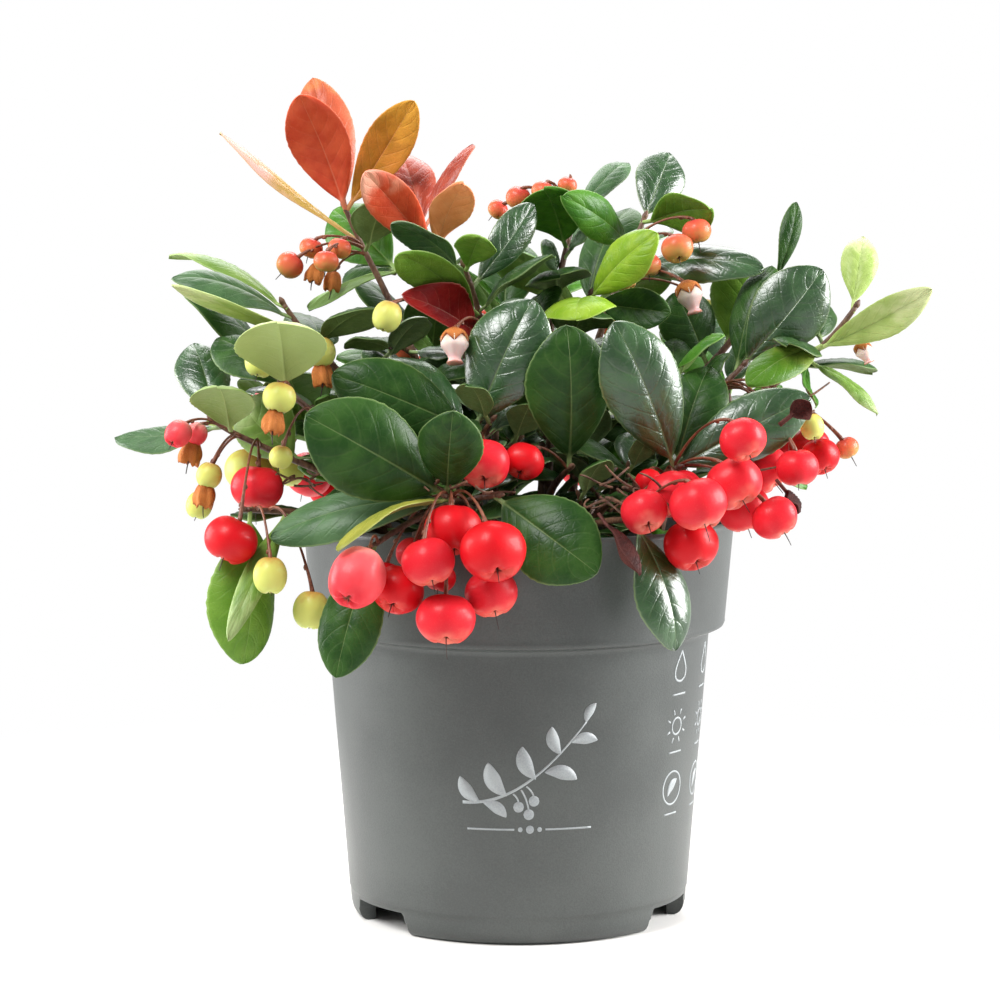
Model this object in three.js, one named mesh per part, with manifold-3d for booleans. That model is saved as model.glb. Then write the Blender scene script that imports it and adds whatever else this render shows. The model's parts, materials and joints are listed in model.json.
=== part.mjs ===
// Potted wintergreen: a low evergreen shrub with red berries, in a grey nursery pot.
// Millimetres, +Z up, front at -Y. The origin is on the ground, under the middle of the pot.

import * as THREE from 'three';
import { mergeVertices } from 'three/addons/utils/BufferGeometryUtils.js';
import Module from 'manifold-3d';

// Pot
const POT_HEIGHT = 97;
const RIM_RADIUS = 52.5;
const COLLAR_FOOT = 71;
const COLLAR_FOOT_RADIUS = 50.2;
const BODY_TOP_RADIUS = 46.4;
const BODY_FOOT_RADIUS = 41.4;
const FOOT_BAND = 6.8;
const GROUND_RADIUS = 38.8;
const WALL = 1.5;
const FOOT_WIDTH = 2.2;
const FLOOR_UNDERSIDE = 6;
const NOTCH_HEIGHT = 5.6;
const NOTCH_ANGLES = [64.5, 184.5, 304.5];
const NOTCH_SPAN = 30;
const DRAIN_RADIUS = 4;
const DRAIN_CIRCLE = 24;
const DRAIN_COUNT = 4;
const POT_SIDES = 30;

// Compost
const SOIL_LEVEL = 88;
const FIT = 0.3;

// Stems
const FOOT_SHARE = 0.42;
const FOOT_LIMIT = 37;
const BOUGH_RADIUS = 1.25;
const FORK_RADIUS = 0.95;
const TIP_RADIUS = 0.6;
const MASS_STEM = 25;
const MASS_SHARE = 0.62;

// Leaves and fruit
const PETIOLE = 3;
const LEAF_THICK = 0.9;
const WIDEST = 1.22;
const ROUNDNESS = 0.62;
const LEAF_RINGS = [0, 0.34, 0.76];
const ROOT_DEPTH = 0.9;
const STALK_RADIUS = 0.55;

// Clearances
const LEAF_GAP = 1.3;
const OWN_GAP = 0.7;
const ROOT_ZONE = 7;
const LIMB_GAP = 0.8;
const FRUIT_GAP = 0.4;
const POT_GAP = 0.9;
const SPACE = 47;
const CROWN_DEPTH = 76;
const SETTLE_STEP = 1.5;
const SETTLE_TRIES = 17;

// Growth rule of the shoots behind
const GOLDEN_TURN = 137.5;
const LEAF_STEP = 3.4;
const SEED = 20261;

const COLOURS = {
  pot: 0x6b6f71,
  compost: 0x2c211a,
  stem: 0x5b4634,
  dark: 0x24452c,
  mid: 0x3f6b35,
  lime: 0x8fae4a,
  red: 0xa9482f,
};

const UP = new THREE.Vector3(0, 0, 1);
const radians = THREE.MathUtils.degToRad;

const wasm = await Module();
wasm.setup();

// A seeded stream of numbers from 0 to 1
let state = SEED;

function draw() {
  state = (state * 1664525 + 1013904223) % 4294967296;
  return state / 4294967296;
}

function spread(middle, range) {
  return middle + range * (2 * draw() - 1);
}

// What the photographed side shows: reach is from the shoot's tip to the leaf's tip, down is along the stem
function leaf(down, reach, width, roll, tint = 'dark', bow = 0.1, cup = 0.25) {
  return { down, reach, width, roll, tint, bow, cup };
}

function fruit(down, reach, radius, kind = 'ripe') {
  return { down, reach, radius, kind };
}

function shoot(tip, leaves, fruits = []) {
  return { tip, leaves, fruits };
}

const FRONT = {
  red_crown: [
    shoot([-42, 0, 172], [
      leaf(0, [-8, 8, 31], 13.5, -45, 'red'),
      leaf(1, [-10, -13, 26], 14.5, 35, 'red'),
      leaf(1, [17, -8, 25], 11.5, -70, 'red'),
      leaf(10, [-29.5, 2, 18.3], 5.5, -18, 'red', -0.02),
    ], [
      fruit(11, [-13, -4, -14], 3.4, 'pink'),
      fruit(10, [-8, -1, -10], 2.9, 'pink'),
      fruit(10, [-1, -4, -10], 2.9, 'pink'),
      fruit(11, [-4, -9, -13], 3.1, 'pink'),
      fruit(13, [-7, -3, -16], 2.4, 'spent'),
      fruit(13, [-3, -3, -18], 2.4, 'spent'),
    ]),
  ],
  red_centre: [
    shoot([-23, -8, 168], [
      leaf(0, [-6, 22, 17], 12.5, -10, 'red'),
      leaf(1, [12, 10, 18.9], 8, -9, 'red'),
      leaf(7, [10, -18, 9], 10, -15, 'red'),
      leaf(8, [-13, -16, 12], 11, 50, 'red'),
    ]),
    shoot([-30, 9, 156], [
      leaf(0, [-16, 17, 15], 16, -50, 'mid'),
      leaf(3, [-13, 11, -1], 12, -30),
      leaf(4, [-21, -14, -9], 10, -10, 'mid'),
    ]),
  ],
  top_middle: [
    shoot([-13, -14, 158], [
      leaf(6, [16.6, 10, 14.8], 9.5, 78),
      leaf(1, [4, -18, 7], 10, -15, 'lime'),
      leaf(0, [-17, -8, 10], 12, 20),
      leaf(13, [-15, -20, 3], 12, 30, 'mid'),
      leaf(19, [-14, -10, -6.4], 11, -77, 'red', 0.1, -0.9),
    ], [
      fruit(16, [-2, -14, -17], 3.3, 'bud'),
      fruit(16, [-17.7, -12, -10.8], 3.4, 'green'),
    ]),
  ],
  top_back: [
    shoot([14, 16, 170], [
      leaf(0, [14, 22, 13], 7, 25),
      leaf(9, [-8, -20, 6], 17, 10, 'mid'),
      leaf(12, [4, -6, -1], 8, 40),
      leaf(18, [-7, -2, -6], 10, -25),
    ], [
      fruit(1, [-19, 6, 1], 2.6, 'pink'),
      fruit(1, [-14, 0, 4], 3.1, 'pink'),
      fruit(2, [-8, -2, 5.5], 2.9, 'pink'),
      fruit(1, [-2, -2, 7], 2.4, 'pink'),
    ]),
  ],
  top_right: [
    shoot([31, 16, 169], [
      leaf(0, [7, 14, 16], 12.5, 35),
      leaf(1, [15, -16, 2], 13, -50, 'mid'),
      leaf(14, [28, -16, -11.5], 12.5, 45),
      leaf(8, [-20.1, -21, 5.6], 10.5, -95, 'mid'),
    ], [
      fruit(5, [12, -10, -3], 3.6, 'pink'),
      fruit(8, [7, -16, -7], 3.9, 'pink'),
      fruit(10, [0.2, -12, -11.3], 3.4, 'pink'),
      fruit(12, [-5, -19, -15], 2.4, 'pink'),
      fruit(16, [10, -14, -18], 3.2, 'bud'),
      fruit(18, [15, -12, -22], 2.4, 'green'),
    ]),
  ],
  lime_shoot: [
    shoot([17, -8, 151], [
      leaf(2, [15.6, -8, 14.9], 12, 77, 'lime'),
      leaf(1, [-4, -24, -4], 17, 6, 'lime'),
      leaf(2, [19, -4, -4], 10, -95),
    ]),
  ],
  left_upper: [
    shoot([-56, -12, 149], [
      leaf(0, [-28.6, 18, 11.8], 10, 5, 'mid'),
      leaf(4, [-25.5, 1, 7], 12, -30),
      leaf(12, [-23.7, -28.5, 4.8], 5, 31, 'mid', 0.02),
    ], [
      fruit(10, [9, -4, -11], 3.6, 'green'),
      fruit(12, [-4, -19.5, -12], 3.7, 'green'),
    ]),
  ],
  left_middle: [
    shoot([-55, -32, 131], [
      leaf(0, [0.4, -25, 16.4], 21, 2, 'mid'),
      leaf(2, [-17, 18, 10], 13, -30),
    ], [
      fruit(4, [0, -12, -2], 3.9, 'green'),
      fruit(10, [0, -8, -16], 2.8, 'green'),
    ]),
  ],
  left_low: [
    shoot([-72, -23, 122], [
      leaf(0, [-6.4, 19, 17], 13, -10),
      leaf(5, [2.8, -23, 9.8], 15, 0, 'mid'),
      leaf(3, [-25.4, 15, -4.9], 9, -40, 'mid', -0.04),
      leaf(24, [5.7, -1, 3.7], 17, -106, 'mid'),
    ], [
      fruit(2, [-7.2, -9, -2], 3, 'pink'),
      fruit(5, [-3.6, -3, -2.6], 2.6, 'pink'),
      fruit(8, [-0.4, -7, -12], 3, 'green'),
      fruit(12, [11, -15, -14.8], 6.1),
      fruit(13, [6.4, -28, -25], 6.1),
      fruit(9, [-3.3, -1.5, -19.5], 3.1, 'green'),
    ]),
  ],
  left_front: [
    shoot([-63, -43, 103], [
      leaf(0, [-0.4, -7, -34.9], 18.5, -46, 'mid', 0.08, 0.5),
      leaf(11, [-2.7, -19, -27.2], 6, -30, 'lime'),
    ], [
      fruit(3, [6.5, -11, -12.9], 3.8, 'green'),
      fruit(6, [15.3, -11, -22.1], 4.2, 'green'),
    ]),
  ],
  front_left: [
    shoot([-17, -51, 107], [
      leaf(0, [-31, -10, 19], 22, -90),
      leaf(1, [2, -12, 20], 15, 167),
      leaf(2, [-40, 5, -10], 14.5, -45),
      leaf(3, [-23.5, -24.5, -9.6], 9, 23, 'mid'),
    ], [
      fruit(4, [2, -8, -7], 6.5),
      fruit(3, [-3.5, -17, -13], 6),
      fruit(4, [11, -18, -10.5], 7.4),
      fruit(5, [-10.5, -12, -20.3], 6),
      fruit(5, [0.4, -15, -26.3], 6.6),
      fruit(6, [10.5, -10, -21.3], 6),
      fruit(7, [-7, -3, -13], 4.2),
      fruit(7, [-1, -5, -18], 3.6),
    ]),
    shoot([-5, -50, 107], [
      leaf(0, [22, -14, -16], 20, 65),
    ]),
    shoot([-34, -50, 95], [
      leaf(0, [-7.6, -10, -28.5], 14.5, -29),
    ], [
      fruit(2, [-1.8, -12, -3.4], 6.2, 'pink'),
    ]),
  ],
  front_right: [
    shoot([27, -49, 101], [
      leaf(0, [9, -5, -29], 15.5, 20),
    ], [
      fruit(2, [13, -11, 5], 6.6),
      fruit(3, [12, -6, -5.4], 6.4),
      fruit(2, [7.5, -3, 6], 5.8),
      fruit(4, [1, -7, 3], 5.3),
    ]),
  ],
  centre_left: [
    shoot([-11, -38, 122], [
      leaf(2, [14, 4, 29], 20, 67),
      leaf(0, [-24, 14, 14], 16, -38),
      leaf(3, [-32, -2, 12], 17, -80),
    ], [
      fruit(6, [3, -12, -8], 5.9),
    ]),
  ],
  centre: [
    shoot([12, -34, 112], [
      leaf(0, [-1, -6, 33], 20.5, -165),
    ], [
      fruit(2, [-11, -12, 2], 4.6),
    ]),
  ],
  centre_right: [
    shoot([37, -34, 112], [
      leaf(0, [-15, -6, 34], 19, -105),
      leaf(1, [8, 14, 23], 15, 20),
      leaf(3, [31, 4, 16], 15, 78),
    ], [
      fruit(2, [12, -12, -2.6], 6.5),
      fruit(2, [13.5, -16, 8], 5.5),
      fruit(3, [15, -2, -9.5], 6.3),
      fruit(3, [20.5, -3, -1.2], 6),
      fruit(4, [21.4, -6, -10.4], 5.4),
    ]),
  ],
  right_middle: [
    shoot([54, -5, 134], [
      leaf(0, [19, 1, 23], 18, 92),
      leaf(3, [7, 2, 24], 12, 13),
    ], [
      fruit(8, [4.5, -23, -14], 5.6),
      fruit(10, [10.5, -30.5, -22], 4.9),
      fruit(10, [17.5, -12, -21], 4.7),
      fruit(9, [24.3, -11, -19.3], 2.9, 'pink'),
      fruit(7, [15, -17, -13], 2.8, 'green'),
    ]),
  ],
  right_far: [
    shoot([81, -4, 148], [
      leaf(0, [3, 12, 17], 9, 16, 'lime'),
      leaf(14, [17, -10, 4.4], 9.5, -64, 'lime', -0.05),
      leaf(12, [-27.4, -22, -17.2], 10.5, -33, 'mid'),
      leaf(17, [5, -6, -25.4], 6, 12, 'mid'),
      leaf(18, [-10, -18, -22], 5, 130, 'mid'),
    ], [
      fruit(12, [2, -2, -10.5], 2.2, 'bud'),
    ]),
  ],
  right_back: [
    shoot([51, 8, 138], [
      leaf(0, [7.6, 6, 20.2], 17, 53, 'lime'),
      leaf(7, [-13, -2, 13], 15, -80),
    ]),
    shoot([63, 4, 154], [
      leaf(0, [4.6, 4, 19], 5.5, 77),
    ]),
  ],
};

// The shoots behind, in rows across the pot: radius, height and bearings of their tips
const BACK_ROWS = [
  { name: 'back_low', radius: 60, height: 119, sway: 8, ripe: true, bearings: [20, 48, 76, 104, 132, 160] },
  { name: 'back_high', radius: 37, height: 142, sway: 9, ripe: false, bearings: [62, 96, 130] },
  { name: 'left_back', radius: 58, height: 128, sway: 4, ripe: true, bearings: [184] },
];
const BACK_LEAVES = 7;
const INNER_LEAVES = 3;

// A spiral of leaves down a stem, the lower ones drooping
function spiral(count, first, start, step, lift, droop, size) {
  const leaves = [];
  for (let i = 0; i < count; i += 1) {
    leaves.push({
      down: start + i * step,
      turn: first + i * GOLDEN_TURN + spread(0, 14),
      rise: spread(lift - i * droop, 9),
      size: spread(size, 4),
      roll: spread(0, 20),
      pick: draw(),
    });
  }
  return leaves;
}

function bunch(bearing, ripe) {
  const fruits = [];
  for (let i = 0; i < 4; i += 1) {
    fruits.push({
      down: 6 + 2.2 * i,
      turn: bearing + spread(0, 70),
      out: spread(ripe ? 13 : 9, 4),
      fall: spread(ripe ? 12 : 4, 4),
      size: ripe ? spread(5.3, 0.9) : spread(3, 0.4),
      kind: ripe ? 'ripe' : 'pink',
    });
  }
  return fruits;
}

function backShoot(row, bearing, index) {
  const turn = radians(bearing);
  const height = row.height + row.sway * Math.sin(2.4 * index + 0.6);
  return {
    tip: [row.radius * Math.cos(turn), row.radius * Math.sin(turn), height],
    leaves: spiral(BACK_LEAVES, spread(bearing, 25), 0.5, LEAF_STEP, 50, 13, 29),
    fruits: bunch(bearing, row.ripe),
  };
}

// Stem lines
function outward(x, y) {
  const length = Math.hypot(x, y);
  return length > 0 ? new THREE.Vector3(x / length, y / length, 0) : new THREE.Vector3(1, 0, 0);
}

function headingAt(tip) {
  return outward(tip.x, tip.y).add(new THREE.Vector3(0, 0, (tip.z - 100) / 30)).normalize();
}

function mainLine(tip) {
  const share = Math.min(FOOT_SHARE, FOOT_LIMIT / Math.hypot(tip.x, tip.y));
  const foot = new THREE.Vector3(tip.x * share, tip.y * share, SOIL_LEVEL + FIT);
  const climb = 0.5 * (tip.z - foot.z) + 3;
  const lead = 0.33 * tip.distanceTo(foot);
  return new THREE.CubicBezierCurve3(
    foot,
    foot.clone().addScaledVector(UP, climb),
    tip.clone().addScaledVector(headingAt(tip), -lead),
    tip,
  );
}

function sideLine(parent, from, tip) {
  const start = parent.getPointAt(from);
  const reach = start.distanceTo(tip);
  return new THREE.QuadraticBezierCurve3(
    start,
    start.clone().addScaledVector(parent.getTangentAt(from), 0.5 * reach),
    tip,
  );
}

function pathPoints(curve, from, to, count) {
  const points = [];
  for (let i = 0; i <= count; i += 1) {
    points.push(curve.getPointAt(from + (to - from) * i / count));
  }
  return points;
}

// One leaf blade as a curved plate between its base and its tip
class Blade {
  constructor(root, tip, width, roll, bow, cup) {
    this.root = root;
    const line = tip.clone().sub(root);
    this.along = line.clone().normalize();
    this.base = root.clone().addScaledVector(this.along, PETIOLE);
    this.length = line.length() - PETIOLE;
    this.half = width / 2;
    this.bow = bow;
    this.cup = cup;
    const side = new THREE.Vector3().crossVectors(this.along, UP).normalize();
    const top = new THREE.Vector3().crossVectors(side, this.along);
    const angle = radians(roll);
    this.normal = top.multiplyScalar(Math.cos(angle)).addScaledVector(side, Math.sin(angle));
    this.across = new THREE.Vector3().crossVectors(this.along, this.normal);
    this.middle = this.point(0.5, 0, 0);
    this.radius = this.length / 2 + 4;
    this.edge = this.outline();
  }

  halfWidth(t) {
    const share = Math.min(Math.max(t, 0), 1);
    return this.half * Math.sin(Math.PI * share ** WIDEST) ** ROUNDNESS;
  }

  bend(t, v) {
    const share = Math.min(Math.max(t, 0), 1);
    return this.bow * this.length * 4 * share * (1 - share) - this.cup * v * v / this.half;
  }

  point(t, v, w) {
    return this.base.clone()
      .addScaledVector(this.along, this.length * t)
      .addScaledVector(this.across, v)
      .addScaledVector(this.normal, this.bend(t, v) + w);
  }

  outline() {
    const points = [this.root];
    const stations = [0, 0.12, 0.3, 0.5, 0.7, 0.88, 1];
    for (const t of stations) points.push(this.point(t, this.halfWidth(t), 0));
    for (const t of stations.slice(0, -1).reverse()) points.push(this.point(t, -this.halfWidth(t), 0));
    for (const t of stations) points.push(this.point(t, 0, 0));
    return points;
  }

  local(p) {
    const q = p.clone().sub(this.base);
    const t = q.dot(this.along) / this.length;
    const v = q.dot(this.across);
    return { t, v, h: q.dot(this.normal) - this.bend(t, v) };
  }

  covers(t, v, margin) {
    const ends = margin / this.length;
    return t > -ends && t < 1 + ends && Math.abs(v) < this.halfWidth(t) + margin;
  }

  meetsPath(points, margin, own) {
    let last = null;
    for (const p of points) {
      if (own && p.distanceTo(this.root) < ROOT_ZONE) {
        last = null;
        continue;
      }
      const here = this.local(p);
      if (Math.abs(here.h) < margin && this.covers(here.t, here.v, margin)) return true;
      if (last && last.h * here.h < 0) {
        const k = last.h / (last.h - here.h);
        if (this.covers(last.t + k * (here.t - last.t), last.v + k * (here.v - last.v), margin)) return true;
      }
      last = here;
    }
    return false;
  }

  meetsBall(centre, radius) {
    const here = this.local(centre);
    const room = radius + FRUIT_GAP;
    return Math.abs(here.h) < room && this.covers(here.t, here.v, Math.sqrt(room ** 2 - here.h ** 2));
  }
}

// The clearance rule
const placed = [];

function near(a, b, room) {
  return a.middle.distanceTo(b.middle) < a.radius + b.radius + room;
}

function pathsMeet(a, b, gap) {
  return a.some((p) => b.some((q) => p.distanceTo(q) < gap));
}

function clash(a, b) {
  if (!near(a, b, 2)) return false;
  const own = a.mass === b.mass;
  if (a.blade && b.blade) {
    const gap = own ? OWN_GAP : LEAF_GAP;
    return a.blade.meetsPath(b.blade.edge, gap, own) || b.blade.meetsPath(a.blade.edge, gap, own);
  }
  if (a.blade || b.blade) {
    const [flat, other] = a.blade ? [a, b] : [b, a];
    if (other.ball && flat.blade.meetsBall(other.ball.centre, other.ball.radius)) return true;
    return flat.blade.meetsPath(other.rod, other.rodRadius + LIMB_GAP, own);
  }
  if (a.ball && b.ball) {
    const room = a.ball.radius + b.ball.radius + FRUIT_GAP;
    if (a.ball.centre.distanceTo(b.ball.centre) < room) return true;
  }
  if (own && a.ball && b.ball) return false;
  for (const [one, two] of [[a, b], [b, a]]) {
    const room = one.ball && one.ball.radius + two.rodRadius + FRUIT_GAP;
    if (one.ball && pathsMeet([one.ball.centre], two.rod, room)) return true;
  }
  return !own && pathsMeet(a.rod, b.rod, a.rodRadius + b.rodRadius + LIMB_GAP);
}

function hitsPot(points, room) {
  return points.some((p) => {
    const r = Math.hypot(p.x, p.y);
    if (r > RIM_RADIUS + POT_GAP + room) return false;
    if (r > COLLAR_FOOT_RADIUS - 2 * WALL - room) return p.z < POT_HEIGHT + POT_GAP + room;
    return p.z < SOIL_LEVEL + POT_GAP + room;
  });
}

function clear(item) {
  const points = item.blade ? item.blade.edge : item.rod.slice(2);
  if (hitsPot(points, item.blade ? 0 : 0.2)) return false;
  if (item.ball && hitsPot([item.ball.centre], item.ball.radius)) return false;
  return !placed.some((other) => clash(item, other));
}

function rootOn(line, down) {
  return line.getPointAt(Math.max(0, 1 - Math.max(down, 2 * TIP_RADIUS) / line.getLength()));
}

function leafItem(mass, line, spec, depth) {
  const root = rootOn(line, spec.down);
  let tip;
  if (spec.reach) {
    tip = line.getPointAt(1).add(new THREE.Vector3(...spec.reach));
  } else {
    const turn = radians(spec.turn);
    const rise = radians(spec.rise);
    tip = root.clone().add(new THREE.Vector3(
      spec.size * Math.cos(turn) * Math.cos(rise),
      spec.size * Math.sin(turn) * Math.cos(rise),
      spec.size * Math.sin(rise),
    ));
  }
  tip.y += depth;
  const blade = new Blade(root, tip, spec.width, spec.roll, spec.bow, spec.cup);
  return { mass, blade, middle: blade.middle, radius: blade.radius, tint: spec.tint };
}

function stalkLine(root, centre) {
  const knee = root.clone().lerp(centre, 0.45);
  knee.z = Math.max(root.z, centre.z) + 0.18 * root.distanceTo(centre);
  return new THREE.QuadraticBezierCurve3(root, knee, centre);
}

function fruitItem(mass, line, spec, depth) {
  const root = rootOn(line, spec.down);
  const centre = line.getPointAt(1).add(new THREE.Vector3(...spec.reach));
  centre.y += depth;
  const stalk = stalkLine(root, centre);
  return {
    mass,
    stalk,
    ball: { centre, radius: spec.radius },
    rod: pathPoints(stalk, 0, 1, 12),
    rodRadius: STALK_RADIUS,
    middle: root.clone().lerp(centre, 0.5),
    radius: root.distanceTo(centre) / 2 + spec.radius,
    kind: spec.kind,
  };
}

// Sets an item back or forward until it is clear, or leaves it out
function settle(make, mass, line, spec) {
  for (let i = 0; i < SETTLE_TRIES; i += 1) {
    const depth = SETTLE_STEP * Math.ceil(i / 2) * (i % 2 ? 1 : -1);
    const item = make(mass, line, spec, depth);
    const end = item.blade ? item.blade.point(1, 0, 0) : item.ball.centre;
    const inside = end.distanceTo(line.getPointAt(1)) < SPACE && Math.abs(end.y) < CROWN_DEPTH;
    if (inside && clear(item)) {
      placed.push(item);
      return item;
    }
  }
  return null;
}

// What the growth rule makes: tint by chance, width from the length, place from the bearing
function grownLeaf(grown) {
  let tint = 'dark';
  if (grown.pick > 0.92) tint = 'lime';
  else if (grown.pick > 0.7) tint = 'mid';
  return { ...grown, tint, width: grown.size * 0.57, bow: 0.1, cup: 0.25 };
}

function grownFruit(grown) {
  const turn = radians(grown.turn);
  const reach = [grown.out * Math.cos(turn), grown.out * Math.sin(turn), -grown.fall];
  return { down: grown.down, reach, radius: grown.size, kind: grown.kind };
}

// Solids
function toSolid(geometry) {
  const bare = geometry.index ? geometry.toNonIndexed() : geometry;
  bare.deleteAttribute('normal');
  bare.deleteAttribute('uv');
  const merged = mergeVertices(bare, 1e-4);
  const mesh = new wasm.Mesh({
    numProp: 3,
    vertProperties: new Float32Array(merged.attributes.position.array),
    triVerts: new Uint32Array(merged.index.array),
  });
  return new wasm.Manifold(mesh);
}

// The largest body alone: a loose scrap is dropped, and a hollow that the joining sealed is filled
function wholeBody(solid) {
  const bodies = solid.decompose();
  return bodies.reduce((best, body) => (body.volume() > best.volume() ? body : best));
}

function toGeometry(solid) {
  const mesh = wholeBody(solid).getMesh();
  const geometry = new THREE.BufferGeometry();
  geometry.setAttribute('position', new THREE.BufferAttribute(new Float32Array(mesh.vertProperties), 3));
  geometry.setIndex(new THREE.BufferAttribute(new Uint32Array(mesh.triVerts), 1));
  geometry.computeVertexNormals();
  return geometry;
}

function moveVertices(geometry, place) {
  const position = geometry.attributes.position;
  const vertex = new THREE.Vector3();
  for (let i = 0; i < position.count; i += 1) {
    vertex.fromBufferAttribute(position, i);
    const moved = place(vertex);
    position.setXYZ(i, moved.x, moved.y, moved.z);
  }
  return geometry;
}

// A tapering limb: a cylinder bent along its line, its ends square to it
function limb(line, from, to, startRadius, endRadius, sides, steps) {
  const chord = line.getPointAt(to).sub(line.getPointAt(from));
  const level = outward(-chord.y, chord.x);
  const tube = new THREE.CylinderGeometry(endRadius, startRadius, 1, sides, steps);
  return moveVertices(tube, (vertex) => {
    const at = from + (to - from) * Math.min(Math.max(vertex.y + 0.5, 0), 1);
    const lift = new THREE.Vector3().crossVectors(line.getTangentAt(at), level).normalize();
    return line.getPointAt(at).addScaledVector(level, vertex.x).addScaledVector(lift, -vertex.z);
  });
}

// A leaf: a sphere of four sides drawn out into a blade, its first pole sunk in the stem
function leafSolid(blade) {
  const stations = [-(PETIOLE + ROOT_DEPTH) / blade.length, ...LEAF_RINGS, 1];
  const rings = stations.length - 1;
  const ball = new THREE.SphereGeometry(1, 4, rings);
  return moveVertices(ball, (vertex) => {
    const ring = Math.round(rings * Math.acos(Math.min(Math.max(vertex.y, -1), 1)) / Math.PI);
    const t = stations[ring];
    const swell = Math.hypot(vertex.x, vertex.z);
    if (ring === 0 || ring === rings || swell < 1e-6) return blade.point(t, 0, 0);
    const v = -Math.max(blade.halfWidth(t), STALK_RADIUS) * vertex.x / swell;
    return blade.point(t, v, LEAF_THICK / 2 * vertex.z / swell);
  });
}

function fruitSolid(item) {
  const { centre, radius } = item.ball;
  const sides = radius > 4 ? 6 : 5;
  const ball = new THREE.SphereGeometry(radius, sides, sides - 2);
  ball.rotateX(Math.PI / 2);
  ball.translate(centre.x, centre.y, centre.z);
  return ball;
}

const group = new THREE.Group();

function addPart(name, geometry, colour, roughness) {
  const material = new THREE.MeshStandardMaterial({ color: colour, roughness, metalness: 0 });
  const mesh = new THREE.Mesh(geometry, material);
  mesh.name = name;
  group.add(mesh);
}

// The pot: one thin wall turned from its profile, three notches in its foot, holes in its floor
function potProfile() {
  const bodyTop = COLLAR_FOOT - 1;
  return [
    [0, FLOOR_UNDERSIDE],
    [GROUND_RADIUS - FOOT_WIDTH + 1.8, FLOOR_UNDERSIDE],
    [GROUND_RADIUS - FOOT_WIDTH, 0],
    [GROUND_RADIUS, 0],
    [GROUND_RADIUS + 1.5, 1],
    [BODY_FOOT_RADIUS - 0.4, FOOT_BAND - 3.4],
    [BODY_FOOT_RADIUS - 0.25, FOOT_BAND - 0.2],
    [BODY_FOOT_RADIUS, FOOT_BAND],
    [BODY_TOP_RADIUS, bodyTop],
    [COLLAR_FOOT_RADIUS - 1.3, COLLAR_FOOT],
    [COLLAR_FOOT_RADIUS, COLLAR_FOOT + 2.2],
    [RIM_RADIUS - 0.1, POT_HEIGHT - 1],
    [RIM_RADIUS - 0.5, POT_HEIGHT],
    [RIM_RADIUS - WALL, POT_HEIGHT],
    ...insidePoints(WALL).reverse(),
    [0, FLOOR_UNDERSIDE + WALL],
  ];
}

function insidePoints(depth) {
  return [
    [BODY_FOOT_RADIUS - depth, FLOOR_UNDERSIDE + depth],
    [BODY_TOP_RADIUS - depth, COLLAR_FOOT - 0.6],
    [COLLAR_FOOT_RADIUS - depth, COLLAR_FOOT + 3],
  ];
}

function turned(profile, sides) {
  const lathe = new THREE.LatheGeometry(profile.map(([r, z]) => new THREE.Vector2(r, z)), sides);
  return lathe.rotateX(Math.PI / 2);
}

function notch(angle) {
  const wide = 2 * BODY_FOOT_RADIUS * Math.sin(radians(NOTCH_SPAN / 2));
  const narrow = wide - 3;
  const opening = new THREE.Shape([
    new THREE.Vector2(-wide / 2, -1),
    new THREE.Vector2(wide / 2, -1),
    new THREE.Vector2(wide / 2, NOTCH_HEIGHT - 3),
    new THREE.Vector2(narrow / 2, NOTCH_HEIGHT),
    new THREE.Vector2(-narrow / 2, NOTCH_HEIGHT),
    new THREE.Vector2(-wide / 2, NOTCH_HEIGHT - 3),
  ]);
  const block = new THREE.ExtrudeGeometry(opening, { depth: 16, bevelEnabled: false });
  block.rotateX(Math.PI / 2);
  block.translate(0, -GROUND_RADIUS + 8, 0);
  block.rotateZ(radians(angle));
  return block;
}

function drain(x, y) {
  const hole = new THREE.CylinderGeometry(DRAIN_RADIUS, DRAIN_RADIUS, 4 * WALL, 8);
  hole.rotateX(Math.PI / 2);
  hole.translate(x, y, FLOOR_UNDERSIDE + WALL / 2);
  return hole;
}

function makePot() {
  let pot = toSolid(turned(potProfile(), POT_SIDES));
  for (const angle of NOTCH_ANGLES) pot = pot.subtract(toSolid(notch(angle)));
  for (let i = 0; i < DRAIN_COUNT; i += 1) {
    const turn = radians(360 * i / DRAIN_COUNT);
    pot = pot.subtract(toSolid(drain(DRAIN_CIRCLE * Math.cos(turn), DRAIN_CIRCLE * Math.sin(turn))));
  }
  addPart('pot', toGeometry(pot), COLOURS.pot, 0.6);
}

function makeCompost() {
  const inside = insidePoints(WALL + FIT);
  const grow = (RIM_RADIUS - COLLAR_FOOT_RADIUS) / (POT_HEIGHT - COLLAR_FOOT - 3);
  const topRadius = COLLAR_FOOT_RADIUS - WALL - FIT + grow * (SOIL_LEVEL - COLLAR_FOOT - 3) - FIT;
  const profile = [[0, inside[0][1]], ...inside, [topRadius, SOIL_LEVEL], [0, SOIL_LEVEL]];
  addPart('compost', toGeometry(toSolid(turned(profile, POT_SIDES))), COLOURS.compost, 0.95);
}

// Each mass: its stem lines first, then the leaves and fruit that fit on them
function layOut(name, shoots) {
  const tip = new THREE.Vector3(...shoots[0].tip);
  const main = mainLine(tip);
  const total = main.getLength();
  const stem = Math.min(MASS_STEM, MASS_SHARE * total);
  const fork = 1 - stem / total;
  const lines = [main];
  for (const side of shoots.slice(1)) {
    lines.push(sideLine(main, fork + 0.3 * (1 - fork), new THREE.Vector3(...side.tip)));
  }
  const mass = { name, shoots, lines, fork, total, items: [] };
  for (const line of lines) {
    const rod = pathPoints(line, 0, 1, 40);
    const middle = line.getPointAt(0.5);
    placed.push({ mass, rod, rodRadius: BOUGH_RADIUS * 0.8, middle, radius: line.getLength() / 2 + 2 });
  }
  return mass;
}

function add(mass, make, i, spec) {
  mass.items.push(settle(make, mass, mass.lines[i], spec));
}

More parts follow.
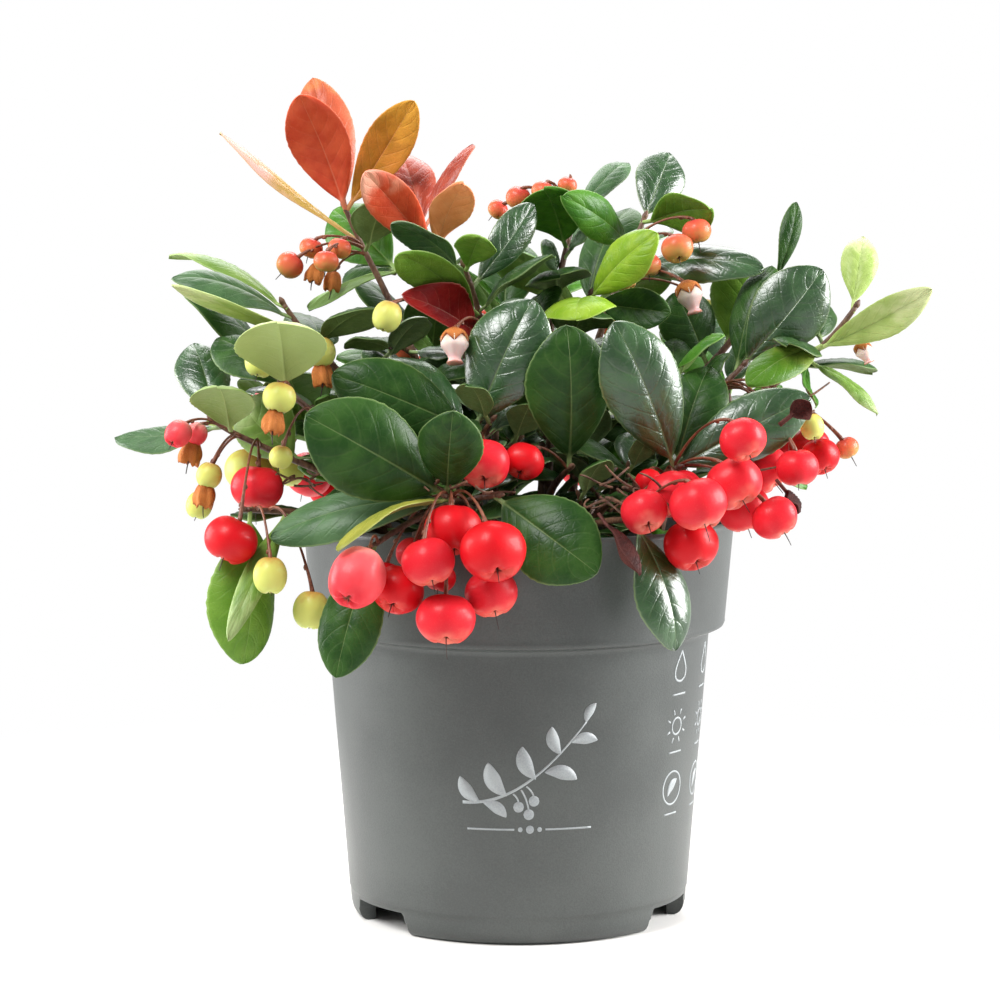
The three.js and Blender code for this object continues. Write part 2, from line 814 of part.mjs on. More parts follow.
function dressFront(mass) {
  mass.shoots.forEach((one, i) => one.leaves.forEach((spec) => add(mass, leafItem, i, spec)));
}

function hangFruit(mass) {
  mass.shoots.forEach((one, i) => one.fruits.forEach((spec) => add(mass, fruitItem, i, spec)));
}

function dressBack(mass) {
  mass.shoots[0].leaves.forEach((grown) => add(mass, leafItem, 0, grownLeaf(grown)));
  mass.shoots[0].fruits.forEach((grown) => add(mass, fruitItem, 0, grownFruit(grown)));
}

function fillInside(mass) {
  const inner = spiral(INNER_LEAVES, spread(0, 180), 12, 4.2, 25, 11, 25);
  inner.forEach((grown) => add(mass, leafItem, 0, grownLeaf(grown)));
}

function makeMass(mass) {
  const gap = FIT / mass.total;
  const [main] = mass.lines;
  addPart(`${mass.name}_stem`, limb(main, 0, mass.fork, BOUGH_RADIUS, FORK_RADIUS, 4, 3), COLOURS.stem, 0.7);
  let solid = toSolid(limb(main, mass.fork + gap, 1, FORK_RADIUS, TIP_RADIUS, 3, 3));
  for (const line of mass.lines.slice(1)) {
    solid = solid.add(toSolid(limb(line, 0, 1, FORK_RADIUS * 0.8, TIP_RADIUS, 3, 3)));
  }
  for (const item of mass.items.filter(Boolean)) {
    if (item.blade) {
      solid = solid.add(toSolid(leafSolid(item.blade)));
    } else {
      const reach = item.stalk.getLength();
      const sunk = 1 - 0.5 * item.ball.radius / reach;
      solid = solid.add(toSolid(limb(item.stalk, 0, sunk, STALK_RADIUS, STALK_RADIUS, 3, 2)));
      solid = solid.add(toSolid(fruitSolid(item)));
    }
  }
  const first = mass.items.find((item) => item && item.blade);
  addPart(mass.name, toGeometry(solid), COLOURS[first ? first.tint : 'dark'], 0.4);
}

makePot();
makeCompost();

const fronts = Object.entries(FRONT).map(([name, shoots]) => layOut(name, shoots));
const backs = [];
for (const row of BACK_ROWS) {
  row.bearings.forEach((bearing, i) => {
    backs.push(layOut(`${row.name}_${i + 1}`, [backShoot(row, bearing, i)]));
  });
}
fronts.forEach(dressFront);
fronts.forEach(hangFruit);
backs.forEach(dressBack);
[...fronts, ...backs].forEach(fillInside);
[...fronts, ...backs].forEach(makeMass);

export default group;
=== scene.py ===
"""Potted wintergreen: a low evergreen shrub with red berries, in a grey nursery pot.

The growth rule of the solids is written again here, in millimetres, and carried on to finer twigs,
leaves and fruit. Meshes are made in metres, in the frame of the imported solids.
"""

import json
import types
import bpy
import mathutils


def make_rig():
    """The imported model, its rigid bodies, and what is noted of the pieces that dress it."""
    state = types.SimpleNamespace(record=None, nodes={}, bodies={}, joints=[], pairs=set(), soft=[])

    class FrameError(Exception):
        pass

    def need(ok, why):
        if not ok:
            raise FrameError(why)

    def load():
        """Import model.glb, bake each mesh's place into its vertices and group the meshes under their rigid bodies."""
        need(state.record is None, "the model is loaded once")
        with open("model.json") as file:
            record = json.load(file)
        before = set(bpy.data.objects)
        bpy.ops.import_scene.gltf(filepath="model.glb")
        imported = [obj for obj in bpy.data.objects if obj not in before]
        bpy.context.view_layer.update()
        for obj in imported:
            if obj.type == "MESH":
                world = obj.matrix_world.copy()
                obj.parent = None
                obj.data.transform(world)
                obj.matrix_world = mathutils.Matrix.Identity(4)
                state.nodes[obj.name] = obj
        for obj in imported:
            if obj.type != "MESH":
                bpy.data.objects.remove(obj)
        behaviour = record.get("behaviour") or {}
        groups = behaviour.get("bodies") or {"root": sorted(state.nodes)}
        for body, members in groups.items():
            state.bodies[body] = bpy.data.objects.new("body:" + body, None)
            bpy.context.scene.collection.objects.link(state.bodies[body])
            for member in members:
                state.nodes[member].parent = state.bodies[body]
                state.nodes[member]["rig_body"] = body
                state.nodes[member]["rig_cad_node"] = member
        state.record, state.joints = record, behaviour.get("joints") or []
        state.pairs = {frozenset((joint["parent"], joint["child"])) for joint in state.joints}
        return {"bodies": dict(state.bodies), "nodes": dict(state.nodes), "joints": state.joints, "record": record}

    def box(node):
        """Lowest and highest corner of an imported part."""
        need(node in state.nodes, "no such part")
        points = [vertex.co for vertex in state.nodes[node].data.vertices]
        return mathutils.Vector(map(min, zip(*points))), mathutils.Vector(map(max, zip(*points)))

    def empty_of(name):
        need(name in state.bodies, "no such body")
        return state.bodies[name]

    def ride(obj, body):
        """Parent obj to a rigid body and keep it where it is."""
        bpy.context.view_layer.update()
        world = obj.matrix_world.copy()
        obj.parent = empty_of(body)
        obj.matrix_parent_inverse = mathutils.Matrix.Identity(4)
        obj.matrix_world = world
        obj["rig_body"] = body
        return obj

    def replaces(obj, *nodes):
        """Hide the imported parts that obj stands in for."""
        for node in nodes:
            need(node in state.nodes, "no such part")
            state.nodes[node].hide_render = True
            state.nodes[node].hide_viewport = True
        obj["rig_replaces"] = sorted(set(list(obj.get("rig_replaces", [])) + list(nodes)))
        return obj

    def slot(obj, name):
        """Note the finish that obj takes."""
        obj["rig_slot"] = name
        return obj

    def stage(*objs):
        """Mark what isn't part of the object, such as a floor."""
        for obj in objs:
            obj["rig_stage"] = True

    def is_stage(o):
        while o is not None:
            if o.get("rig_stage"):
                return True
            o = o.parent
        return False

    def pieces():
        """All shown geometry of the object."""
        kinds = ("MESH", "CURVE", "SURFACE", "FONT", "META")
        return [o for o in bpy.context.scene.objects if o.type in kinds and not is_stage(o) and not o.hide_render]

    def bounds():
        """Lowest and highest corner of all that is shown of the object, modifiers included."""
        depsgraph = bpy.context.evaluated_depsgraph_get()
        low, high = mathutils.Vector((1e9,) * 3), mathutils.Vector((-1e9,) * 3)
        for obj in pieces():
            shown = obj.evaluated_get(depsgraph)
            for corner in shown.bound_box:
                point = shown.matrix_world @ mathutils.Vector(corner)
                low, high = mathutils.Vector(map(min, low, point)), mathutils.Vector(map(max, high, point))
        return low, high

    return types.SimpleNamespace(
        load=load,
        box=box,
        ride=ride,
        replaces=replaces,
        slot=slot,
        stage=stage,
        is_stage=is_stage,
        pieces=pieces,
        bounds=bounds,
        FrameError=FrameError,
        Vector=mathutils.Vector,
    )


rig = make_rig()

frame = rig.load()
solid_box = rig.bounds()

import json
import logging
import math
from collections.abc import Callable, Iterable
from dataclasses import dataclass, field
from enum import Enum

import bpy
import numpy as np

log = logging.getLogger("wintergreen")

MM = 0.001
MAP = "OFBake"
UP = np.array([0.0, 0.0, 1.0])
BACK = np.array([0.0, 1.0, 0.0])

# Compost and stems
SOIL_LEVEL = 88.0
FIT = 0.3
FOOT_SHARE = 0.42
FOOT_LIMIT = 37.0
BOUGH_RADIUS = 1.25
FORK_RADIUS = 0.95
TIP_RADIUS = 0.6
MASS_STEM = 25.0
MASS_SHARE = 0.62

# Leaves and fruit
PETIOLE = 3.0
WIDEST = 1.22
ROUNDNESS = 0.62
STALK_RADIUS = 0.55
BACK_LEAVES = 7
INNER_LEAVES = 3

# Clearances, the reach allowed round a shoot's tip, and the steps in which a thing is set back or forward
LEAF_GAP = 1.3
OWN_GAP = 0.7
ROOT_ZONE = 7.0
LIMB_GAP = 0.8
FRUIT_GAP = 0.4
POT_GAP = 0.9
SPACE = 47.0
CROWN_DEPTH = 76.0
SETTLE_STEP = 1.5
SETTLE_TRIES = 17

# Seeded growth: the turn from leaf to leaf in degrees, their distance down the stem, and the seed
GOLDEN_TURN = 137.5
LEAF_STEP = 3.4
SEED = 20261

Vector = tuple[float, float, float]
Array, Socket, Object, Material = np.ndarray, bpy.types.NodeSocket, bpy.types.Object, bpy.types.Material
Values = np.ndarray | float


class Tint(Enum):
    """The leaf colours, one finish each."""

    DARK = "dark"
    MID = "mid"
    LIME = "lime"
    RED = "red"


class Kind(Enum):
    """The stages of the fruit."""

    RIPE = "ripe"
    BLUSH = "pink"
    GREEN = "green"
    SPENT = "spent"
    BUD = "bud"


@dataclass(frozen=True)
class LeafSpec:
    """One leaf of a shoot: reach leads from the shoot's tip to the leaf's tip, down is along the stem."""

    down: float
    reach: Vector
    width: float
    roll: float
    tint: Tint = Tint.DARK
    bow: float = 0.1
    cup: float = 0.25


@dataclass(frozen=True)
class FruitSpec:
    """One fruit of a shoot: reach leads from the shoot's tip to the fruit's middle."""

    down: float
    reach: Vector
    radius: float
    kind: Kind = Kind.RIPE


@dataclass(frozen=True)
class Shoot:
    """A shoot's tip with the leaves and fruit that it bears."""

    tip: Vector
    leaves: list[LeafSpec]
    fruits: list[FruitSpec] = field(default_factory=list)


leaf, fruit, shoot = LeafSpec, FruitSpec, Shoot
MID, LIME, RED = Tint.MID, Tint.LIME, Tint.RED
BLUSH, GREEN, SPENT, BUD = Kind.BLUSH, Kind.GREEN, Kind.SPENT, Kind.BUD

# What the photographed side shows
FRONT: dict[str, list[Shoot]] = {
    "red_crown": [shoot((-42, 0, 172), [
        leaf(0, (-8, 8, 31), 13.5, -45, RED), leaf(1, (-10, -13, 26), 14.5, 35, RED),
        leaf(1, (17, -8, 25), 11.5, -70, RED), leaf(10, (-29.5, 2, 18.3), 5.5, -18, RED, -0.02),
    ], [
        fruit(11, (-13, -4, -14), 3.4, BLUSH), fruit(10, (-8, -1, -10), 2.9, BLUSH),
        fruit(10, (-1, -4, -10), 2.9, BLUSH), fruit(11, (-4, -9, -13), 3.1, BLUSH),
        fruit(13, (-7, -3, -16), 2.4, SPENT), fruit(13, (-3, -3, -18), 2.4, SPENT),
    ])],
    "red_centre": [shoot((-23, -8, 168), [
        leaf(0, (-6, 22, 17), 12.5, -10, RED), leaf(1, (12, 10, 18.9), 8, -9, RED),
        leaf(7, (10, -18, 9), 10, -15, RED),
        leaf(8, (-13, -16, 12), 11, 50, RED),
    ]), shoot((-30, 9, 156), [
        leaf(0, (-16, 17, 15), 16, -50, MID), leaf(3, (-13, 11, -1), 12, -30),
        leaf(4, (-21, -14, -9), 10, -10, MID),
    ])],
    "top_middle": [shoot((-13, -14, 158), [
        leaf(6, (16.6, 10, 14.8), 9.5, 78), leaf(1, (4, -18, 7), 10, -15, LIME),
        leaf(0, (-17, -8, 10), 12, 20),
        leaf(13, (-15, -20, 3), 12, 30, MID), leaf(19, (-14, -10, -6.4), 11, -77, RED, 0.1, -0.9),
    ], [
        fruit(16, (-2, -14, -17), 3.3, BUD), fruit(16, (-17.7, -12, -10.8), 3.4, GREEN),
    ])],
    "top_back": [shoot((14, 16, 170), [
        leaf(0, (14, 22, 13), 7, 25), leaf(9, (-8, -20, 6), 17, 10, MID), leaf(12, (4, -6, -1), 8, 40),
        leaf(18, (-7, -2, -6), 10, -25),
    ], [
        fruit(1, (-19, 6, 1), 2.6, BLUSH), fruit(1, (-14, 0, 4), 3.1, BLUSH),
        fruit(2, (-8, -2, 5.5), 2.9, BLUSH),
        fruit(1, (-2, -2, 7), 2.4, BLUSH),
    ])],
    "top_right": [shoot((31, 16, 169), [
        leaf(0, (7, 14, 16), 12.5, 35), leaf(1, (15, -16, 2), 13, -50, MID),
        leaf(14, (28, -16, -11.5), 12.5, 45),
        leaf(8, (-20.1, -21, 5.6), 10.5, -95, MID),
    ], [
        fruit(5, (12, -10, -3), 3.6, BLUSH), fruit(8, (7, -16, -7), 3.9, BLUSH),
        fruit(10, (0.2, -12, -11.3), 3.4, BLUSH), fruit(12, (-5, -19, -15), 2.4, BLUSH),
        fruit(16, (10, -14, -18), 3.2, BUD), fruit(18, (15, -12, -22), 2.4, GREEN),
    ])],
    "lime_shoot": [shoot((17, -8, 151), [
        leaf(2, (15.6, -8, 14.9), 12, 77, LIME), leaf(1, (-4, -24, -4), 17, 6, LIME),
        leaf(2, (19, -4, -4), 10, -95),
    ])],
    "left_upper": [shoot((-56, -12, 149), [
        leaf(0, (-28.6, 18, 11.8), 10, 5, MID), leaf(4, (-25.5, 1, 7), 12, -30),
        leaf(12, (-23.7, -28.5, 4.8), 5, 31, MID, 0.02),
    ], [
        fruit(10, (9, -4, -11), 3.6, GREEN), fruit(12, (-4, -19.5, -12), 3.7, GREEN),
    ])],
    "left_middle": [shoot((-55, -32, 131), [
        leaf(0, (0.4, -25, 16.4), 21, 2, MID), leaf(2, (-17, 18, 10), 13, -30),
    ], [
        fruit(4, (0, -12, -2), 3.9, GREEN), fruit(10, (0, -8, -16), 2.8, GREEN),
    ])],
    "left_low": [shoot((-72, -23, 122), [
        leaf(0, (-6.4, 19, 17), 13, -10), leaf(5, (2.8, -23, 9.8), 15, 0, MID),
        leaf(3, (-25.4, 15, -4.9), 9, -40, MID, -0.04), leaf(24, (5.7, -1, 3.7), 17, -106, MID),
    ], [
        fruit(2, (-7.2, -9, -2), 3, BLUSH), fruit(5, (-3.6, -3, -2.6), 2.6, BLUSH),
        fruit(8, (-0.4, -7, -12), 3, GREEN),
        fruit(12, (11, -15, -14.8), 6.1), fruit(13, (6.4, -28, -25), 6.1),
        fruit(9, (-3.3, -1.5, -19.5), 3.1, GREEN),
    ])],
    "left_front": [shoot((-63, -43, 103), [
        leaf(0, (-0.4, -7, -34.9), 18.5, -46, MID, 0.08, 0.5), leaf(11, (-2.7, -19, -27.2), 6, -30, LIME),
    ], [
        fruit(3, (6.5, -11, -12.9), 3.8, GREEN), fruit(6, (15.3, -11, -22.1), 4.2, GREEN),
    ])],
    "front_left": [shoot((-17, -51, 107), [
        leaf(0, (-31, -10, 19), 22, -90), leaf(1, (2, -12, 20), 15, 167), leaf(2, (-40, 5, -10), 14.5, -45),
        leaf(3, (-23.5, -24.5, -9.6), 9, 23, MID),
    ], [
        fruit(4, (2, -8, -7), 6.5), fruit(3, (-3.5, -17, -13), 6), fruit(4, (11, -18, -10.5), 7.4),
        fruit(5, (-10.5, -12, -20.3), 6), fruit(5, (0.4, -15, -26.3), 6.6), fruit(6, (10.5, -10, -21.3), 6),
        fruit(7, (-7, -3, -13), 4.2), fruit(7, (-1, -5, -18), 3.6),
    ]), shoot((-5, -50, 107), [
        leaf(0, (22, -14, -16), 20, 65),
    ]), shoot((-34, -50, 95), [
        leaf(0, (-7.6, -10, -28.5), 14.5, -29),
    ], [
        fruit(2, (-1.8, -12, -3.4), 6.2, BLUSH),
    ])],
    "front_right": [shoot((27, -49, 101), [
        leaf(0, (9, -5, -29), 15.5, 20),
    ], [
        fruit(2, (13, -11, 5), 6.6), fruit(3, (12, -6, -5.4), 6.4), fruit(2, (7.5, -3, 6), 5.8),
        fruit(4, (1, -7, 3), 5.3),
    ])],
    "centre_left": [shoot((-11, -38, 122), [
        leaf(2, (14, 4, 29), 20, 67), leaf(0, (-24, 14, 14), 16, -38), leaf(3, (-32, -2, 12), 17, -80),
    ], [
        fruit(6, (3, -12, -8), 5.9),
    ])],
    "centre": [shoot((12, -34, 112), [
        leaf(0, (-1, -6, 33), 20.5, -165),
    ], [
        fruit(2, (-11, -12, 2), 4.6),
    ])],
    "centre_right": [shoot((37, -34, 112), [
        leaf(0, (-15, -6, 34), 19, -105), leaf(1, (8, 14, 23), 15, 20), leaf(3, (31, 4, 16), 15, 78),
    ], [
        fruit(2, (12, -12, -2.6), 6.5), fruit(2, (13.5, -16, 8), 5.5), fruit(3, (15, -2, -9.5), 6.3),
        fruit(3, (20.5, -3, -1.2), 6), fruit(4, (21.4, -6, -10.4), 5.4),
    ])],
    "right_middle": [shoot((54, -5, 134), [
        leaf(0, (19, 1, 23), 18, 92), leaf(3, (7, 2, 24), 12, 13),
    ], [
        fruit(8, (4.5, -23, -14), 5.6), fruit(10, (10.5, -30.5, -22), 4.9), fruit(10, (17.5, -12, -21), 4.7),
        fruit(9, (24.3, -11, -19.3), 2.9, BLUSH), fruit(7, (15, -17, -13), 2.8, GREEN),
    ])],
    "right_far": [shoot((81, -4, 148), [
        leaf(0, (3, 12, 17), 9, 16, LIME), leaf(14, (17, -10, 4.4), 9.5, -64, LIME, -0.05),
        leaf(12, (-27.4, -22, -17.2), 10.5, -33, MID), leaf(17, (5, -6, -25.4), 6, 12, MID),
        leaf(18, (-10, -18, -22), 5, 130, MID),
    ], [
        fruit(12, (2, -2, -10.5), 2.2, BUD),
    ])],
    "right_back": [shoot((51, 8, 138), [
        leaf(0, (7.6, 6, 20.2), 17, 53, LIME), leaf(7, (-13, -2, 13), 15, -80),
    ]), shoot((63, 4, 154), [
        leaf(0, (4.6, 4, 19), 5.5, 77),
    ])],
}


@dataclass(frozen=True)
class Row:
    """A row of shoots behind: where their tips stand."""

    name: str
    radius: float
    height: float
    sway: float
    ripe: bool
    bearings: tuple[float, ...]


BACK_ROWS = (
    Row("back_low", 60, 119, 8, True, (20, 48, 76, 104, 132, 160)),
    Row("back_high", 37, 142, 9, False, (62, 96, 130)),
    Row("left_back", 58, 128, 4, True, (184,)),
)


class Stream:
    """A seeded stream of numbers from 0 to 1."""

    def __init__(self, seed: int) -> None:
        """Starts the stream at seed."""
        self.state = seed

    def draw(self) -> float:
        """Returns the next number."""
        self.state = (self.state * 1664525 + 1013904223) % 4294967296
        return self.state / 4294967296

    def spread(self, middle: float, reach: float) -> float:
        """Returns a number within reach of middle."""
        return middle + reach * (2 * self.draw() - 1)

    def scatter(self, x: float, y: float, z: float) -> Array:
        """Returns a vector whose parts are within reach of 0."""
        return np.array([self.spread(0, x), self.spread(0, y), self.spread(0, z)])


def seeded(number: int) -> Stream:
    """Returns a dataclass field that starts a stream of its own."""
    return field(default_factory=lambda: Stream(SEED + number))


def circle(count: int) -> Array:
    """Returns count even bearings round a circle."""
    return 2 * np.pi * np.arange(count) / count


@dataclass(frozen=True)
class Grown:
    """A leaf as the growth rule gives it, before its place is worked out."""

    down: float
    turn: float
    rise: float
    size: float
    roll: float
    pick: float


def spiral(
    stream: Stream, count: int, first: float, start: float, step: float, lift: float, droop: float,
    size: float
) -> list[Grown]:
    """Returns a spiral of leaves down a stem, the lower ones drooping.

    Args:
        stream: where the chances come from.
        count: how many leaves.
        first: the bearing of the first one, in degrees.
        start: how far below the tip it stands.
        step: the distance between two leaves.
        lift: how steeply the first one rises, in degrees.
        droop: how much less each next one rises.
        size: the length of a leaf.

    Returns:
        The leaves from the tip down.
    """
    leaves = []
    for i in range(count):
        leaves.append(Grown(
            start + i * step,
            first + i * GOLDEN_TURN + stream.spread(0, 14),
            stream.spread(lift - i * droop, 9),
            stream.spread(size, 4),
            stream.spread(0, 20),
            stream.draw(),
        ))
    return leaves


def bunch(stream: Stream, bearing: float, ripe: bool) -> list[FruitSpec]:
    """Returns a bunch of four fruits that hang out of the crown at a bearing.

    Args:
        stream: where the chances come from.
        bearing: the direction it hangs in, in degrees.
        ripe: whether the fruits are ripe.

    Returns:
        The fruits.
    """
    fruits = []
    for i in range(4):
        turn = math.radians(bearing + stream.spread(0, 70))
        out = stream.spread(13 if ripe else 9, 4)
        fall = stream.spread(12 if ripe else 4, 4)
        size = stream.spread(5.3, 0.9) if ripe else stream.spread(3, 0.4)
        reach = (out * math.cos(turn), out * math.sin(turn), -fall)
        fruits.append(FruitSpec(6 + 2.2 * i, reach, size, Kind.RIPE if ripe else Kind.BLUSH))
    return fruits


def unit(way: Array) -> Array:
    """Returns a direction of length 1."""
    return way / np.linalg.norm(way)


class Line:
    """A Bezier line that is walked by its length, as the solids walk theirs."""

    SPANS = 200

    def __init__(self, *knots: Array) -> None:
        """Takes the knots of the line and measures it.

        Args:
            knots: its three or four knots.
        """
        self.knots = [np.asarray(k, float) for k in knots]
        self.grid = np.arange(self.SPANS + 1) / self.SPANS
        points = self.raw(self.grid)
        steps = np.sqrt(((points[1:] - points[:-1]) ** 2).sum(1))
        self.lengths = np.concatenate([[0.0], np.cumsum(steps)])
        self.length = float(self.lengths[-1])

    def raw(self, t: Values) -> Array:
        """Returns the points at the curve's own parameter.

        Args:
            t: the parameters.

        Returns:
            The points.
        """
        t = np.asarray(t, float)[..., None]
        k = 1 - t
        if len(self.knots) == 3:
            a, b, c = self.knots
            return k * k * a + 2 * k * t * b + t * t * c
        a, b, c, d = self.knots
        return k**3 * a + 3 * k * k * t * b + 3 * k * t * t * c + t**3 * d

    def own(self, share: Values) -> Array:
        """Returns the curve's parameter at a share of its length."""
        return np.interp(np.asarray(share, float) * self.length, self.lengths, self.grid)

    def at(self, share: Values) -> Array:
        """Returns the points at shares of the length."""
        return self.raw(self.own(share))

    def heading(self, share: Values) -> Array:
        """Returns the directions at shares of the length.

        Args:
            share: the shares.

        Returns:
            The directions, of length 1.
        """
        t = self.own(share)
        low, high = np.clip(t - 0.0001, 0, 1), np.clip(t + 0.0001, 0, 1)
        way = self.raw(high) - self.raw(low)
        return way / np.linalg.norm(way, axis=-1, keepdims=True)


def outward(x: float, y: float) -> Array:
    """Returns the level direction from the middle to a place."""
    length = math.hypot(x, y)
    return np.array([x / length, y / length, 0.0]) if length > 0 else np.array([1.0, 0.0, 0.0])


def main_line(tip: Array) -> Line:
    """Returns the line of a shoot that rises from the compost to its tip.

    Args:
        tip: the shoot's tip.

    Returns:
        The line, from the compost to the tip.
    """
    share = min(FOOT_SHARE, FOOT_LIMIT / math.hypot(tip[0], tip[1]))
    foot = np.array([tip[0] * share, tip[1] * share, SOIL_LEVEL + FIT])
    climb = 0.5 * (tip[2] - foot[2]) + 3
    lead = 0.33 * np.linalg.norm(tip - foot)
    heading = unit(outward(tip[0], tip[1]) + UP * ((tip[2] - 100) / 30))
    return Line(foot, foot + UP * climb, tip - heading * lead, tip)


def side_line(parent: Line, start_share: float, tip: Array) -> Line:
    """Returns the line of a side shoot that leaves its parent at a share of its length.

    Args:
        parent: the line it leaves.
        start_share: the share of the parent's length.
        tip: its own tip.

    Returns:
        The line.
    """
    start = parent.at(start_share)
    reach = np.linalg.norm(tip - start)
    return Line(start, start + parent.heading(start_share) * (0.5 * reach), tip)


class Blade:
    """A leaf blade as a curved plate between its base and its tip."""

    STATIONS = (0, 0.12, 0.3, 0.5, 0.7, 0.88, 1)

    def __init__(self, root: Array, tip: Array, width: float, roll: float, bow: float, cup: float) -> None:
        """Sets the plate between a root on the stem and the leaf's tip.

        Args:
            root: the place on the stem.
            tip: the leaf's tip.
            width: its greatest width.
            roll: its turn about its own length, in degrees.
            bow: how much it arches along.
            cup: how much its sides rise.
        """
        self.root = root
        line = tip - root
        self.along = line / np.linalg.norm(line)
        self.base = root + self.along * PETIOLE
        self.length = float(np.linalg.norm(line)) - PETIOLE
        self.half = width / 2
        self.bow = bow
        self.cup = cup
        side = unit(np.cross(self.along, UP))
        top = np.cross(side, self.along)
        angle = math.radians(roll)
        self.normal = top * math.cos(angle) + side * math.sin(angle)
        self.across = np.cross(self.along, self.normal)
        self.middle = self.point(0.5, 0.0, 0.0)
        self.radius = self.length / 2 + 4
        there = np.array(self.STATIONS, float)
        back = there[:-1][::-1]
        t = np.concatenate([there, back, there])
        v = np.concatenate([self.half_width(there), -self.half_width(back), 0 * there])
        self.edge = np.vstack([root, self.point(t, v, 0.0)])

    def half_width(self, t: Values) -> Array:
        """Returns half the blade's width at shares of its length."""
        share = np.clip(t, 0, 1)
        return self.half * np.abs(np.sin(np.pi * share**WIDEST)) ** ROUNDNESS

    def bend(self, t: Values, v: Values) -> Array:
        """Returns how far the plate stands off its chord."""
        share = np.clip(t, 0, 1)
        return self.bow * self.length * 4 * share * (1 - share) - self.cup * v * v / self.half

    def point(self, t: Values, v: Values, w: Values) -> Array:
        """Returns the points at shares of the length, off to the side and off the plate.

        Args:
            t: shares of the length.
            v: ways off to the side.
            w: heights off the plate.

        Returns:
            The points.
        """
        t, v = np.asarray(t, float), np.asarray(v, float)
        off = self.bend(t, v) + w
        return (
            self.base
            + self.along * (self.length * t)[..., None]
            + self.across * v[..., None]
            + self.normal * np.asarray(off)[..., None]
        )

    def local(self, points: Array) -> tuple[Array, Array, Array]:
        """Returns points as shares of the length, ways off to the side and heights over the plate.

        Args:
            points: the points.

        Returns:
            Shares, ways and heights.
        """
        q = points - self.base
        t, v = q @ self.along / self.length, q @ self.across
        return t, v, q @ self.normal - self.bend(t, v)

    def covers(self, t: Array, v: Array, margin: Values) -> Array:
        """Returns whether places lie on the plate, or within a margin of it."""
        ends = margin / self.length
        return (t > -ends) & (t < 1 + ends) & (np.abs(v) < self.half_width(t) + margin)

    def meets_path(self, points: Array, margin: float, own: bool) -> bool:
        """Returns whether a path touches or crosses the plate.

        Args:
            points: the path.
            margin: how near counts as touching.
            own: whether both are of one mass, where what lies near the leaf's root doesn't count.

        Returns:
            True where they meet.
        """
        t, v, h = self.local(points)
        live = np.ones(len(points), bool)
        if own:
            live = ((points - self.root) ** 2).sum(1) >= ROOT_ZONE**2
        if (live & (np.abs(h) < margin) & self.covers(t, v, margin)).any():
            return True
        cross = live[:-1] & live[1:] & (h[:-1] * h[1:] < 0)
        if not cross.any():
            return False
        a, b = h[:-1][cross], h[1:][cross]
        k = a / (a - b)
        tk = t[:-1][cross] + k * (t[1:][cross] - t[:-1][cross])
        vk = v[:-1][cross] + k * (v[1:][cross] - v[:-1][cross])
        return bool(self.covers(tk, vk, margin).any())

    def meets_ball(self, centre: Array, radius: float) -> bool:
        """Returns whether a ball touches the plate.

        Args:
            centre: the ball's middle.
            radius: its radius.

        Returns:
            True where they touch.
        """
        t, v, h = (x[0] for x in self.local(centre[None]))
        room = radius + FRUIT_GAP
        return bool(abs(h) < room and self.covers(t, v, math.sqrt(room**2 - h**2)))


@dataclass
class Item:
    """A leaf, a fruit on its stalk or a stem, as the clearance rule sees it."""

    mass: "Mass"
    middle: Array
    radius: float
    blade: Blade | None = None
    tint: Tint = Tint.DARK
    rod: Array | None = None
    rod_radius: float = 0.0
    stalk: Line | None = None
    ball: tuple[Array, float] | None = None
    kind: Kind = Kind.RIPE


@dataclass
class Mass:
    """A shoot or a few on one bough: its lines, where the bough ends, and what it bears."""

    name: str
    shoots: list[Shoot]
    lines: list[Line]
    fork: float
    items: list[Item | None] = field(default_factory=list)
    grown: list[Grown] = field(default_factory=list)


def paths_meet(a: Array, b: Array, gap: float) -> bool:
    """Returns whether two paths come nearer than a gap."""
    return bool((((a[:, None] - b[None]) ** 2).sum(2) < gap * gap).any())


def hits_pot(points: Array, room: float) -> bool:
    """Returns whether points lie in the pot or in the compost.

    Args:
        points: the points.
        room: how thick the thing is round them.

    Returns:
        True where one does.
    """
    r = np.hypot(points[:, 0], points[:, 1])
    z = points[:, 2]
    over_rim = r > POT.collar_radius - 2 * POT.wall - room
    floor = np.where(over_rim, POT.height, SOIL_LEVEL) + POT_GAP + room
    return bool(((r <= POT.rim + POT_GAP + room) & (z < floor)).any())


def clash(a: Item, b: Item) -> bool:
    """Returns whether two things touch, by the clearance rule of the solids.

    Args:
        a: one of them.
        b: the other.

    Returns:
        True where they touch.
    """
    own = a.mass is b.mass
    if a.blade and b.blade:
        gap = OWN_GAP if own else LEAF_GAP
        return a.blade.meets_path(b.blade.edge, gap, own) or b.blade.meets_path(a.blade.edge, gap, own)
    if a.blade or b.blade:
        flat, other = (a, b) if a.blade else (b, a)
        if other.ball and flat.blade.meets_ball(*other.ball):
            return True
        return flat.blade.meets_path(other.rod, other.rod_radius + LIMB_GAP, own)
    if a.ball and b.ball:
        if np.linalg.norm(a.ball[0] - b.ball[0]) < a.ball[1] + b.ball[1] + FRUIT_GAP:
            return True
        if own:
            return False
    for one, two in ((a, b), (b, a)):
        if one.ball and paths_meet(one.ball[0][None], two.rod, one.ball[1] + two.rod_radius + FRUIT_GAP):
            return True
    return not own and paths_meet(a.rod, b.rod, a.rod_radius + b.rod_radius + LIMB_GAP)


def root_on(line: Line, down: float) -> Array:
    """Returns the place on a stem at a distance below its tip."""
    return line.at(max(0.0, 1 - max(down, 2 * TIP_RADIUS) / line.length))


